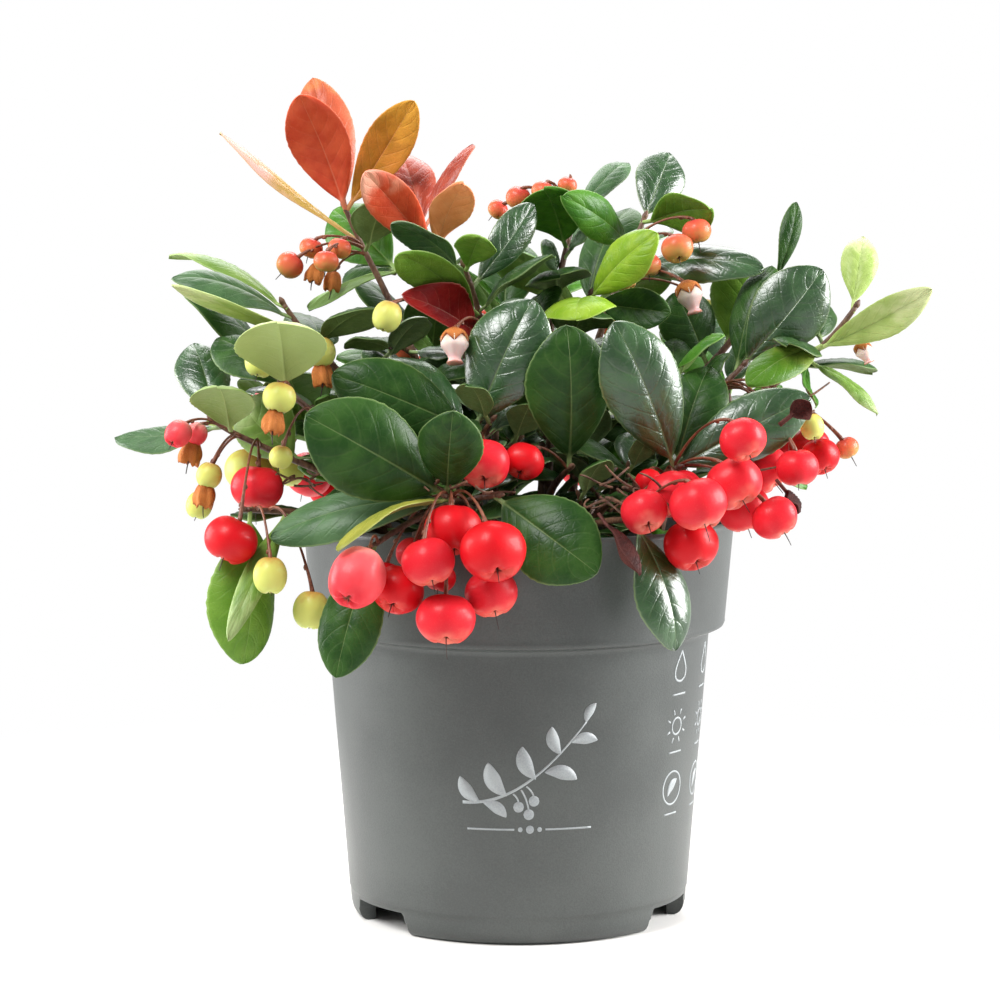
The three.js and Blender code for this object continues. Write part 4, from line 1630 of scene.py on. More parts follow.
    def bud(self, centre: Array, axis: Array, radius: float) -> None:
        """Adds a pale, urn-shaped flower with a toothed collar at its stalk.

        Args:
            centre: its middle.
            axis: its direction.
            radius: its greatest radius.
        """
        k = np.linspace(0, 1, 18)
        turn = circle(20)
        shape = np.interp(k, [0, 0.06, 0.25, 0.5, 0.78, 0.88, 1], [0.2, 0.55, 0.95, 1.0, 0.52, 0.42, 0.6])
        ribs = 1 + 0.035 * np.cos(5 * turn)
        length = 2.5 * radius
        spin(self.castings["buds"], centre - axis * radius, axis, k * length, radius * shape[:, None] * ribs)
        j = np.linspace(0, 1, 8)
        cup = radius * np.interp(j, [0, 0.3, 0.7, 1], [0.25, 0.75, 0.98, 1.02])[:, None]
        teeth = (j * radius * 0.9)[:, None] * (1 + 0.35 * j[:, None] * np.cos(5 * turn))
        spin(self.castings["corollas"], centre - axis * radius * 1.1, axis, teeth, cup * np.ones(20))


@dataclass
class StemMaker:
    """Makes boughs, side shoots and twigs with the bark's relief, and their end buds."""

    casting: Casting
    sides: int = 14
    ridge: float = 0.06
    fine_ridge: float = 0.045
    knot: float = 0.12
    stream: Stream = seeded(71)

    def limb(self, line: Line, start: float, end: float, foot: float = 0.0, step: float = 1.0) -> None:
        """Adds a tapering limb.

        Args:
            line: its line.
            start: its radius at the start.
            end: its radius at the tip.
            foot: how far it goes on below its start.
            step: the distance between two rings.
        """
        draw = self.stream
        count = max(8, int(line.length / step))
        share = np.linspace(0, 1, count)
        path = line.at(share)
        radii = start + (end - start) * share
        radii = radii * (1 + 0.5 * np.exp(-share * line.length / 2.2) * (foot > 0))
        if foot > 0:
            path = np.vstack([path[0] - UP * foot, path])
            radii = np.concatenate([[radii[0] * 1.12], radii])
            share = np.concatenate([[0], share])
        turn = circle(self.sides)
        along = (share * line.length)[:, None]
        phase = draw.draw() * 6.28
        ridges = self.ridge * np.sin(3 * turn + 0.35 * along + phase)
        ridges = ridges + self.fine_ridge * np.sin(5 * turn - 0.5 * along)
        wave = np.cos(2 * np.pi * along / draw.spread(4.2, 0.5) + phase)
        knots = self.knot * np.clip(wave, 0.55, 1) - 0.066
        self.casting.loft(rings_on(path, radii[:, None] * (1 + ridges + knots)))

    def end_bud(self, line: Line, radius: float) -> None:
        """Adds the pointed bud at a shoot's end.

        Args:
            line: the shoot's line.
            radius: the shoot's radius at its tip.
        """
        k = np.linspace(0, 1, 8)
        turn = circle(10)
        shape = radius * 1.25 * np.sin(np.pi * (0.2 + 0.76 * k)) ** 0.9
        scales = 1 + 0.08 * np.cos(3 * turn + 6 * k[:, None])
        spin(self.casting, line.at(1.0), line.heading(1.0), k * 2.4 - 0.4, shape[:, None] * scales)


@dataclass(frozen=True)
class Pot:
    """The pot: a thin turned wall with a collar, notches in its foot and drain holes, and its sizes."""

    height: float = 97.0
    rim: float = 52.5
    collar_foot: float = 71.0
    collar_radius: float = 50.2
    top_radius: float = 46.4
    foot_radius: float = 41.4
    band: float = 6.8
    ground: float = 38.8
    wall: float = 1.5
    foot_width: float = 2.2
    floor: float = 6.0
    floor_hole: float = 12.0
    notch: float = 5.6
    notch_angles: tuple[float, ...] = (64.5, 184.5, 304.5)
    notch_span: float = 30.0
    chamfer: float = 1.5
    chamfer_height: float = 3.0
    drain: float = 4.0
    drain_circle: float = 24.0
    drain_count: int = 4
    sides: int = 150

    def outline(self) -> Array:
        """Returns the outline as radii and heights, from the floor's underside round to its upper side.

        Returns:
            The outline.
        """
        body_top = self.collar_foot - 1
        slope = (self.top_radius - self.foot_radius) / (body_top - self.band)
        collar = (self.rim - self.collar_radius) / (self.height - self.collar_foot)
        inner, outer = self.ground - self.foot_width, self.ground
        rows = [(self.floor_hole, self.floor), (inner + 1.2, self.floor), (inner + 1.7, self.floor - 0.3)]
        rows += [(inner + 0.1, 0.4), (inner + 0.4, 0), (outer - 0.2, 0), (outer + 0.5, 0.25),
                 (outer + 1.2, 0.8)]
        rows.append((outer + 1.75, 1.7))
        for r, z in ((-0.45, 3.2), (-0.3, 5.0), (-0.27, self.band - 0.35), (-0.08, self.band - 0.1)):
            rows.append((self.foot_radius + r, z))
        rows.append((self.foot_radius + 0.02, self.band + 0.25))
        for z in np.linspace(self.band + 1.5, body_top - 1, 30):
            rows.append((self.foot_radius + slope * (z - self.band), z))
        for r, z in ((0.05, -0.2), (0.5, 0.4), (1.4, 0.85)):
            rows.append((self.top_radius + r, body_top + z))
        for r, z in ((-0.9, 0), (-0.25, 0.3), (0.05, 1), (0.02, 1.5)):
            rows.append((self.collar_radius + r, self.collar_foot + z))
        for z in np.linspace(self.collar_foot + 3, self.height - 3, 14):
            rows.append((self.collar_radius + collar * (z - self.collar_foot) - 0.1, z))
        for r, z in ((-0.08, -2), (0, -1.2), (-0.15, -0.45), (-0.5, -0.08), (-0.9, 0)):
            rows.append((self.rim + r, self.height + z))
        for r, z in ((0.15, -0.1), (-0.05, -0.6)):
            rows.append((self.rim - self.wall + r, self.height + z))
        for z in np.linspace(self.height - 3, self.collar_foot + 3, 10):
            rows.append((self.collar_radius - self.wall + collar * (z - self.collar_foot - 3), z))
        rows.append((self.top_radius - self.wall, self.collar_foot - 0.6))
        for z in np.linspace(self.collar_foot - 8, self.floor + self.wall + 2, 6):
            rows.append((self.foot_radius - self.wall + slope * (z - self.floor - self.wall), z))
        top_side = self.floor + self.wall
        return np.array([*rows, (self.foot_radius - self.wall - 0.6, top_side), (self.floor_hole, top_side)])

    def lift(self, turn: Array) -> Array:
        """Returns how high the foot's notches reach at bearings, which start at the front.

        Args:
            turn: the bearings.

        Returns:
            The heights.
        """
        wide = self.foot_radius * math.sin(math.radians(self.notch_span / 2))
        height = np.zeros_like(turn)
        for angle in self.notch_angles:
            off = (turn - math.radians(angle) + np.pi) % (2 * np.pi) - np.pi
            x = np.abs(self.foot_radius * np.sin(off))
            slant = self.notch - self.chamfer_height * smooth_step(x, wide - self.chamfer, wide)
            height = np.where((np.abs(off) < 1) & (x <= wide + 0.01), slant, height)
        return height

    def bearings(self) -> Array:
        """Returns the bearings of the wall's columns, closer at the notches' ends.

        Returns:
            The bearings in order, in radians.
        """
        wide = self.foot_radius * math.sin(math.radians(self.notch_span / 2))
        extra = []
        for angle in self.notch_angles:
            for x in (wide - 2, wide - 1.5, wide - 1.1, wide - 0.75, wide - 0.4, wide, wide + 0.05):
                off = math.asin(x / self.foot_radius)
                extra += [math.radians(angle) + off, math.radians(angle) - off]
        even = circle(self.sides)
        turn = np.array(extra) % (2 * np.pi)
        apart = np.abs((even[:, None] - turn[None] + np.pi) % (2 * np.pi) - np.pi).min(1)
        return np.sort(np.concatenate([even[apart > 0.008], turn]))

    def build(self) -> Object:
        """Returns the pot, with its drain holes cut.

        Returns:
            The piece, without its finish.
        """
        turn = self.bearings()
        rows = self.outline()
        r, z = rows[:, :1], rows[:, 1:]
        z = np.where(z < self.notch, np.maximum(z, self.lift(turn)[None]), z)
        rings = np.stack(np.broadcast_arrays(r * np.sin(turn), -r * np.cos(turn), z), -1)
        casting = Casting()
        casting.loft(rings)
        pot = casting.piece("pot_wall", "pot", "pot", mapped=False)
        cutter = Casting()
        k = circle(24)
        for i in range(self.drain_count):
            way = math.radians(360 * i / self.drain_count)
            x = self.drain_circle * math.cos(way) + self.drain * np.cos(k)
            y = self.drain_circle * math.sin(way) + self.drain * np.sin(k)
            ends = [np.stack([x, y, 0 * k + level], -1) for level in (3.0, 11.0)]
            cutter.loft(np.array(ends))
        self.cut(pot, cutter)
        pot.data.set_sharp_from_angle(angle=math.radians(42))
        return pot

    def cut(self, pot: Object, cutter: Casting) -> None:
        """Cuts bodies out of the pot, and takes the cutter away again.

        Args:
            pot: the pot.
            cutter: the bodies.
        """
        mesh = bpy.data.meshes.new("drain")
        points = np.concatenate(cutter.points) * MM
        faces = [f.tolist() for size in (3, 4) for rows in cutter.faces[size] for f in rows]
        mesh.from_pydata(points.tolist(), [], faces)
        tool = bpy.data.objects.new("drain", mesh)
        bpy.context.scene.collection.objects.link(tool)
        step = pot.modifiers.new("drain", "BOOLEAN")
        step.operation, step.solver, step.object = "DIFFERENCE", "EXACT", tool
        bpy.context.view_layer.update()
        made = bpy.data.meshes.new_from_object(pot.evaluated_get(bpy.context.evaluated_depsgraph_get()))
        pot.modifiers.remove(step)
        pot.data = made
        bpy.data.objects.remove(tool)

    def radius_at(self, z: Values) -> Values:
        """Returns the outer radius at heights on the body.

        Args:
            z: the heights.

        Returns:
            The radii.
        """
        return self.foot_radius + (self.top_radius - self.foot_radius) * (z - self.band) / (
            self.collar_foot - 1 - self.band
        )


POT = Pot()


class Sign(Enum):
    """The plain outlines printed at the side."""

    DROP = "drop"
    SUN = "sun"
    LEAF = "leaf"


@dataclass
class PrintMaker:
    """Makes the ornament and the plain outlines printed on the pot, as thin films of ink."""

    film: float = 0.06
    sunk: float = 0.25
    middle_radius: float = 44.0
    columns: tuple[float, ...] = (43.5, 58.5)
    rows: tuple[tuple[float, Sign], ...] = ((63.5, Sign.DROP), (49.5, Sign.SUN), (34.5, Sign.LEAF))
    rule_height: float = 28.2
    casting: Casting = field(default_factory=Casting)

    def stroke(self, path: Iterable[tuple[float, float]], widths: Iterable[float] | float) -> None:
        """Adds a stroke of ink.

        Args:
            path: its points, as the way round the pot from the front and the height.
            widths: its width, or one for each point.
        """
        flat = np.array(list(path), float)
        width = np.broadcast_to(np.asarray(widths, float), len(flat)).reshape(-1, 1)
        way = np.gradient(flat, axis=0)
        way /= np.linalg.norm(way, axis=1, keepdims=True) + 1e-9
        side = np.stack([-way[:, 1], way[:, 0]], 1) * width / 2
        rings = []
        for edge, height in ((-1, -self.sunk), (1, -self.sunk), (1, self.film), (0, self.film),
                             (-1, self.film)):
            q = flat + edge * side
            turn = q[:, 0] / self.middle_radius
            r = POT.radius_at(q[:, 1]) + height
            rings.append(np.stack([r * np.sin(turn), -r * np.cos(turn), q[:, 1]], 1))
        self.casting.loft(np.stack(rings, 1))

    def curve(self, *knots: tuple[float, float], width: float = 0.5, taper: float = 0.0) -> None:
        """Adds a smooth stroke.

        Args:
            knots: its three or four knots.
            width: its width at the start.
            taper: the share of the width that it loses on its way.
        """
        line = Line(*(np.array([x, z, 0.0]) for x, z in knots))
        share = np.linspace(0, 1, 24)
        widths = width * (1 - taper * share)
        self.stroke(line.at(share)[:, :2], widths)

    def ring(
        self, x: float, z: float, radius: float, width: float = 0.45, start: float = 0, end: float = 360
    ) -> None:
        """Adds a round outline, or an arc of it between two bearings.

        Args:
            x: the way round the pot.
            z: the height.
            radius: its radius.
            width: the stroke's width.
            start: where the arc starts.
            end: where it ends.
        """
        turn = np.radians(np.linspace(start, end, 40))
        self.stroke(zip(x + radius * np.cos(turn), z + radius * np.sin(turn)), width)

    def leaf(self, x: float, z: float, bearing: float, length: float) -> None:
        """Adds a filled leaf that starts at a place.

        Args:
            x: the way round the pot.
            z: the height.
            bearing: its direction, in degrees.
            length: its length.
        """
        way = math.radians(bearing)
        k = np.linspace(0, 1, 18)
        bow = 0.12 * length * np.sin(np.pi * k)
        px = x + length * k * math.cos(way) - bow * math.sin(way)
        pz = z + length * k * math.sin(way) + bow * math.cos(way)
        self.stroke(zip(px, pz), 0.1 + 0.42 * length * np.sin(np.pi * k**1.1) ** 0.8)

    def disc(self, x: float, z: float, radius: float) -> None:
        """Adds a filled round."""
        k = np.linspace(-1, 1, 16)
        self.stroke(zip(x + radius * k, z + 0 * k), 0.05 + 2 * radius * np.sqrt(np.clip(1 - k * k, 0, 1)))

    def sprig(self) -> None:
        """Draws a plain sprig of leaves and berries on the front, over a fine line."""
        self.curve((-13.5, 34.5), (-3, 34), (6, 41), (15.5, 53.5), width=0.75, taper=0.5)
        for x, z, bearing, length in (
            (-9.4, 34.7, 128, 7.5), (-3.0, 36.2, 118, 9), (3.8, 40.2, 112, 8.5), (9.6, 46.0, 108, 7),
            (-8.6, 34.6, -32, 6.5), (5.8, 41.8, -14, 8), (11.9, 48.7, 2, 6.5), (15.4, 53.3, 62, 5),
        ):
            self.leaf(x, z, bearing, length)
        for x, z, root in ((-0.2, 33.6, (-1.5, 36.7)), (3.4, 35.0, (1.6, 38.5)), (2.2, 31.8, (0.4, 37.7))):
            self.disc(x, z, 1.25)
            self.curve(root, ((x + root[0]) / 2 + 0.5, (z + root[1]) / 2 + 0.8), (x, z + 0.9), width=0.4)
        for start, end in ((-12.5, -1.2), (6.2, 17.5)):
            self.stroke([(x, self.rule_height) for x in np.linspace(start, end, 12)], 0.45)
        for x, radius in ((2.5, 0.95), (0.2, 0.55), (4.8, 0.55)):
            self.disc(x, self.rule_height, radius)

    def outlines(self) -> None:
        """Draws two columns of plain outlines at the side: a sun, a drop and a leaf in a round."""
        for x in self.columns:
            for z, sign in self.rows:
                if sign is Sign.SUN:
                    self.ring(x, z, 2.0)
                    for i in range(8):
                        way = math.radians(45 * i + 22.5)
                        ends = [(x + r * math.cos(way), z + r * math.sin(way)) for r in (3.0, 3.6, 4.3)]
                        self.stroke(ends, 0.45)
                elif sign is Sign.DROP:
                    for s in (1, -1):
                        self.curve((x, z + 4.2), (x + s * 0.9, z + 2.2), (x + s * 3.3, z - 0.4),
                                   (x + s * 1.9, z - 2.4))
                    self.curve((x + 1.9, z - 2.4), (x + 0.8, z - 3.4), (x - 0.8, z - 3.4), (x - 1.9, z - 2.4))
                else:
                    self.ring(x, z, 4.0)
                    self.leaf(x - 1.9, z - 1.9, 45, 5.4)
                self.stroke([(x + k, z - 6.3) for k in np.linspace(-2.8, 2.8, 6)], 0.4)

    def build(self) -> Object:
        """Returns the print as one piece.

        Returns:
            The piece, without its finish.
        """
        self.sprig()
        self.outlines()
        return self.casting.piece("print_ink", "print", mapped=False)


def hashed(points: Array, salt: float) -> Array:
    """Returns a number from 0 to 1 for each point that looks like chance."""
    k = np.sin(points @ np.array([12.9898, 78.233, 37.719]) + salt) * 43758.5453
    return k - np.floor(k)


def lumps(x: Array, y: Array, scale: float, salt: float) -> Array:
    """Returns smooth noise from -1 to 1 at places on a plane.

    Args:
        x: the places.
        y: the places.
        scale: the lumps' width.
        salt: what tells one noise from another.

    Returns:
        The noise.
    """
    u, v = x / scale, y / scale
    i, j = np.floor(u), np.floor(v)
    fu, fv = u - i, v - j
    fu, fv = fu * fu * (3 - 2 * fu), fv * fv * (3 - 2 * fv)

    def corner(a: int, b: int) -> Array:
        """Returns the noise at a corner of the cell."""
        return hashed(np.stack([i + a, j + b, 0 * i], -1), salt)

    low = corner(0, 0) * (1 - fu) + corner(1, 0) * fu
    high = corner(0, 1) * (1 - fu) + corner(1, 1) * fu
    return 2 * (low * (1 - fv) + high * fv) - 1


@dataclass
class CompostMaker:
    """Makes the moist compost: its filling, and the crumbs and fibres that lie on it."""

    rings: int = 44
    sides: int = 150
    crumb_count: int = 1000
    fibre_count: int = 90
    fibre_radius: float = 0.22
    lumps: tuple[tuple[float, float], ...] = ((0.75, 9), (0.45, 3.7), (0.3, 1.5))
    settled: float = 1.1

    def edge_radius(self) -> float:
        """Returns the filling's radius at its top."""
        grow = (POT.rim - POT.collar_radius) / (POT.height - POT.collar_foot - 3)
        return POT.collar_radius - POT.wall - FIT + grow * (SOIL_LEVEL - POT.collar_foot - 3) - FIT

    def level(self, x: Array, y: Array) -> Array:
        """Returns the height of the surface at places.

        Args:
            x: the places.
            y: the places.

        Returns:
            The heights.
        """
        rough = sum(high * lumps(x, y, wide, 1 + i) for i, (high, wide) in enumerate(self.lumps))
        fall = smooth_step(np.hypot(x, y), 30, 50)
        return SOIL_LEVEL - 0.6 + rough - self.settled * fall

    def build(self) -> list[Object]:
        """Returns the filling and what lies on it.

        Returns:
            Both pieces, without their finishes.
        """
        top = self.edge_radius()
        turn = circle(self.sides)
        radii = top * np.sqrt((np.arange(self.rings) + 1) / self.rings)
        r, a = np.meshgrid(radii, turn, indexing="ij")
        x, y = r * np.cos(a), r * np.sin(a)
        upper = np.stack([x, y, self.level(x, y)], -1)
        depth = POT.wall + FIT
        wall = [(POT.collar_radius - depth, POT.collar_foot + 3),
                (POT.top_radius - depth, POT.collar_foot - 0.6)]
        wall += [(POT.foot_radius - depth, POT.floor + depth), (10.0, POT.floor + depth)]
        sides = [np.stack([q * np.cos(turn), q * np.sin(turn), 0 * turn + z], -1) for q, z in wall]
        filling = Casting()
        filling.loft(np.concatenate([upper, np.array(sides)]))
        return [filling.piece("compost_filling", "compost", "compost", mapped=False), self.crumbs(top)]

    def crumbs(self, top: float) -> Object:
        """Returns the crumbs and fibres on the surface.

        Args:
            top: the surface's radius.

        Returns:
            The piece.
        """
        stream = Stream(SEED + 97)
        casting = Casting()
        for _ in range(self.crumb_count):
            r = (top - 2.2) * math.sqrt(stream.draw())
            turn = 6.2832 * stream.draw()
            size = 0.5 + 1.5 * stream.draw() ** 2.5
            x, y = r * math.cos(turn), r * math.sin(turn)
            z = float(self.level(np.array([x]), np.array([y]))[0]) + 0.25 * size
            way = stream.scatter(1, 1, 0.6)
            way /= np.linalg.norm(way) + 1e-6
            k = np.linspace(-1, 1, 6)
            shape = np.sqrt(1 - (0.93 * k) ** 2) * size * stream.spread(0.62, 0.2)
            spots = np.arange(36)[:, None] * np.array([1.0, 2.0, 3.0]) + x
            chance = 1 + 0.3 * (hashed(spots, y).reshape(6, 6) - 0.5)
            spin(casting, np.array([x, y, z]), way, k * size, shape[:, None] * chance)
        for _ in range(self.fibre_count):
            r = (top - 6) * math.sqrt(stream.draw())
            turn = 6.2832 * stream.draw()
            x, y, bearing = r * math.cos(turn), r * math.sin(turn), 6.2832 * stream.draw()
            length, bend = stream.spread(5, 2.5), stream.spread(0, 1.4)
            k = np.linspace(-0.5, 0.5, 9)
            px = x + length * k * math.cos(bearing) - bend * k * k * 4 * math.sin(bearing)
            py = y + length * k * math.sin(bearing) + bend * k * k * 4 * math.cos(bearing)
            pz = self.level(px, py) + 0.35 + 0.4 * np.sin(5 * k + bend)
            casting.tube(np.stack([px, py, pz], -1), np.full(9, self.fibre_radius) * (1 - 1.2 * k * k), 5)
        return casting.piece("compost_crumbs", "compost", mapped=False)


# Finishes


Colour = tuple[float, float, float]


class Wiring:
    """Adds nodes to one tree in few words."""

    def __init__(self, tree: bpy.types.NodeTree) -> None:
        """Takes the tree."""
        self.tree = tree

    def node(self, kind: str, **values: object) -> bpy.types.Node:
        """Returns a new node.

        Args:
            kind: the node's kind.
            values: its options.

        Returns:
            The node.
        """
        made = self.tree.nodes.new(kind)
        for key, value in values.items():
            setattr(made, key, value)
        return made

    def feed(self, socket: Socket, value: object) -> None:
        """Links a socket to another one, or sets its value.

        Args:
            socket: the socket.
            value: another socket, a colour or a number.
        """
        if isinstance(value, Socket):
            self.tree.links.new(value, socket)
        elif socket.type == "RGBA":
            socket.default_value = (*value, 1.0)
        else:
            socket.default_value = value

    def result(
        self, kind: str, values: Iterable[object], places: Iterable[int | str] = range(3), output: int = 0,
        **options: object,
    ) -> Socket:
        """Returns an output of a new node.

        Args:
            kind: the node's kind.
            values: what its inputs are fed with.
            places: which inputs these are.
            output: which output is wanted.
            options: the node's options.

        Returns:
            The output's socket.
        """
        made = self.node(kind, **options)
        for place, value in zip(places, values):
            self.feed(made.inputs[place], value)
        return made.outputs[output]

    def sum(self, operation: str, *values: object) -> Socket:
        """Returns the result of a Math node."""
        return self.result("ShaderNodeMath", values, operation=operation)

    def times(self, a: object, b: object) -> Socket:
        """Returns a product."""
        return self.sum("MULTIPLY", a, b)

    def plus(self, a: object, b: object) -> Socket:
        """Returns a sum."""
        return self.sum("ADD", a, b)

    def less(self, a: object, b: object) -> Socket:
        """Returns a difference."""
        return self.sum("SUBTRACT", a, b)

    def step(self, value: object, low: object, high: object) -> Socket:
        """Returns an even rise from 0 at low to 1 at high."""
        return self.result("ShaderNodeMapRange", (value, low, high), interpolation_type="SMOOTHSTEP")

    def blend(self, share: object, a: object, b: object) -> Socket:
        """Returns a mix of two colours."""
        return self.result("ShaderNodeMix", (share, a, b), (0, 6, 7), 2, data_type="RGBA")

    def between(self, share: object, a: object, b: object) -> Socket:
        """Returns a mix of two numbers."""
        return self.result("ShaderNodeMix", (share, a, b), (0, 2, 3), data_type="FLOAT")

    def vector(self, x: object, y: object, z: object) -> Socket:
        """Returns a vector of three values."""
        return self.result("ShaderNodeCombineXYZ", (x, y, z))

    def noise(self, vector: object, scale: object, detail: float = 2.0) -> Socket:
        """Returns soft noise over a vector."""
        return self.result("ShaderNodeTexNoise", (vector, scale, detail), ("Vector", "Scale", "Detail"))

    def map_place(self) -> bpy.types.NodeOutputs:
        """Returns the two parts of a place on the piece's map."""
        return self.parts_of(self.node("ShaderNodeUVMap", uv_map=MAP).outputs[0])

    def parts_of(self, vector: Socket) -> bpy.types.NodeOutputs:
        """Returns the parts of a vector.

        Args:
            vector: the vector.

        Returns:
            The three outputs.
        """
        made = self.node("ShaderNodeSeparateXYZ")
        self.feed(made.inputs[0], vector)
        return made.outputs


class Effect:
    """A node group with named inputs and outputs, built once."""

    def __init__(self, name: str, inputs: dict[str, object], outputs: tuple[str, ...]) -> None:
        """Makes the group's sockets.

        Args:
            name: the group's name.
            inputs: the inputs with their defaults, a colour or a number.
            outputs: the outputs, of which the first is a colour.
        """
        self.tree = bpy.data.node_groups.new(name, "ShaderNodeTree")
        for key, value in inputs.items():
            kind = "NodeSocketColor" if isinstance(value, tuple) else "NodeSocketFloat"
            made = self.tree.interface.new_socket(name=key, in_out="INPUT", socket_type=kind)
            made.default_value = (*value, 1.0) if isinstance(value, tuple) else value
        for key in outputs:
            kind = "NodeSocketColor" if key == "Colour" else "NodeSocketFloat"
            self.tree.interface.new_socket(name=key, in_out="OUTPUT", socket_type=kind)
        self.wiring = Wiring(self.tree)
        self.given = self.wiring.node("NodeGroupInput").outputs
        self.result = self.wiring.node("NodeGroupOutput").inputs

    def put(self, **values: object) -> None:
        """Feeds the group's outputs."""
        for key, value in values.items():
            self.wiring.feed(self.result[key], value)


def leaf_effect() -> Effect:
    """Returns the leaf's face: midrib, side veins, net, margin and mottling, drawn on the leaf's own map.

    Returns:
        The effect.
    """
    effect = Effect(
        "leaf_face",
        {
            "Deep": (0.02, 0.07, 0.02), "Light": (0.05, 0.13, 0.04), "Rib": (0.2, 0.3, 0.1),
            "Edge": (0.3, 0.3, 0.1), "Under": (0.12, 0.22, 0.06), "Under Rib": (0.2, 0.3, 0.1),
            "Tip": (0.2, 0.3, 0.1), "Tip From": 2.0, "Gloss": 0.35,
        },
        ("Colour", "Roughness", "Height"),
    )
    w, given = effect.wiring, effect.given
    place = w.map_place()
    cells = w.times(place[0], float(LeafMaker.cells))
    cell = w.sum("FLOOR", cells)
    s = w.sum("DIVIDE", w.less(w.sum("FRACT", cells), 0.5), LeafMaker.cell_half)
    a = w.sum("ABSOLUTE", s)
    under = w.sum("GREATER_THAN", cell, 3.5)
    t = w.sum("DIVIDE", w.less(place[1], 0.11), 0.88)
    t_in = w.sum("MINIMUM", w.sum("MAXIMUM", t, 0.001), 0.999)
    wide = w.sum("POWER", w.sum("SINE", w.times(w.sum("POWER", t_in, WIDEST), math.pi)), ROUNDNESS)
    off = w.times(a, wide)
    rib_at = w.sum("DIVIDE", off, w.less(1.18, t_in))
    rib = w.less(1.0, w.step(rib_at, 0.010, 0.040))
    variant = w.sum("MODULO", cell, 4.0)
    lean = w.less(t, w.times(w.sum("POWER", a, 1.3), LeafMaker.vein_lean))
    vein_at = w.plus(w.times(lean, LeafMaker.vein_count), w.times(variant, 0.15))
    gap = w.sum("ABSOLUTE", w.less(w.sum("FRACT", w.plus(vein_at, 100.0)), 0.5))
    inside = w.less(1.0, w.step(a, 0.72, 0.96))
    vein = w.times(w.less(1.0, w.step(gap, 0.0, 0.11)), inside)
    spot = w.vector(
        w.times(w.times(s, wide), 8.0), w.times(t, 30.0),
        w.times(cell, 13.0),
    )
    net = w.node("ShaderNodeTexVoronoi", feature="DISTANCE_TO_EDGE")
    w.feed(net.inputs["Vector"], spot)
    w.feed(net.inputs["Scale"], 0.62)
    fine_vein = w.less(1.0, w.step(net.outputs["Distance"], 0.0, 0.13))
    mottle = w.step(w.noise(spot, 0.17, 3.0), 0.35, 0.7)
    fine = w.noise(spot, 1.3, 3.0)
    upper = w.blend(w.times(mottle, 0.75), given["Deep"], given["Light"])
    past = w.plus(t, w.times(w.less(mottle, 0.5), 0.22))
    end = w.step(past, given["Tip From"], w.plus(given["Tip From"], 0.4))
    upper = w.blend(end, upper, given["Tip"])
    upper = w.blend(w.times(fine_vein, 0.02), upper, given["Rib"])
    upper = w.blend(w.times(vein, 0.05), upper, given["Rib"])
    upper = w.blend(w.times(rib, 0.38), upper, given["Rib"])
    lower = w.blend(w.times(w.plus(vein, fine_vein), 0.12), given["Under"], given["Under Rib"])
    lower = w.blend(w.times(mottle, 0.18), lower, given["Deep"])
    lower = w.blend(w.times(rib, 0.8), lower, given["Under Rib"])
    colour = w.blend(under, upper, lower)
    margin = w.step(a, 0.955, 0.995)
    colour = w.blend(w.times(margin, 0.4), colour, given["Edge"])
    stalk = w.less(1.0, w.step(t, -0.02, 0.05))
    colour = w.blend(w.times(stalk, 0.85), colour, given["Edge"])
    rough = w.plus(given["Gloss"], w.times(mottle, 0.09))
    relief = w.plus(w.times(vein, -0.3), w.times(fine_vein, -0.13))
    relief = w.plus(relief, w.times(rib, w.between(under, -0.5, 0.6)))
    relief = w.plus(relief, w.times(fine, 0.22))
    effect.put(Colour=colour, Roughness=w.between(under, rough, 0.5), Height=relief)
    return effect


def fruit_effect() -> Effect:
    """Returns the skin of fruit and flowers: four colours from the stalk to the far end, and fine speckles.

    Returns:
        The effect.
    """
    effect = Effect(
        "fruit_skin",
        {
            "Near": (0.7, 0.02, 0.03), "Middle": (0.7, 0.02, 0.03), "Far": (0.7, 0.1, 0.1),
            "Star": (0.1, 0.02, 0.01), "Fade": 0.6, "Gloss": 0.25,
        },
        ("Colour", "Roughness", "Height"),
    )
    w, given = effect.wiring, effect.given
    place = w.map_place()
    turn = w.times(place[0], 2 * math.pi)
    angle = w.times(place[1], math.pi)
    ring = w.sum("SINE", angle)
    spot = w.vector(
        w.times(w.sum("COSINE", turn), ring), w.times(w.sum("SINE", turn), ring),
        w.times(w.sum("COSINE", angle), -1.0),
    )
    cloud = w.noise(spot, 1.6, 2.0)
    along = w.plus(place[1], w.times(w.less(cloud, 0.5), 0.35))
    colour = w.blend(w.step(along, 0.1, 0.48), given["Near"], given["Middle"])
    far = w.step(along, given["Fade"], 0.97)
    colour = w.blend(far, colour, given["Far"])
    speckle = w.step(w.noise(spot, 26.0, 1.0), 0.6, 0.72)
    colour = w.blend(w.times(speckle, 0.1), colour, given["Far"])
    lobes = w.times(w.sum("COSINE", w.times(turn, 5.0)), 0.012)
    star = w.step(w.plus(place[1], lobes), 0.925, 0.965)
    colour = w.blend(star, colour, given["Star"])
    rough = w.plus(given["Gloss"], w.times(star, 0.4))
    height = w.plus(w.times(w.noise(spot, 9.0, 2.0), 0.6), w.times(speckle, 0.15))
    effect.put(Colour=colour, Roughness=rough, Height=height)
    return effect


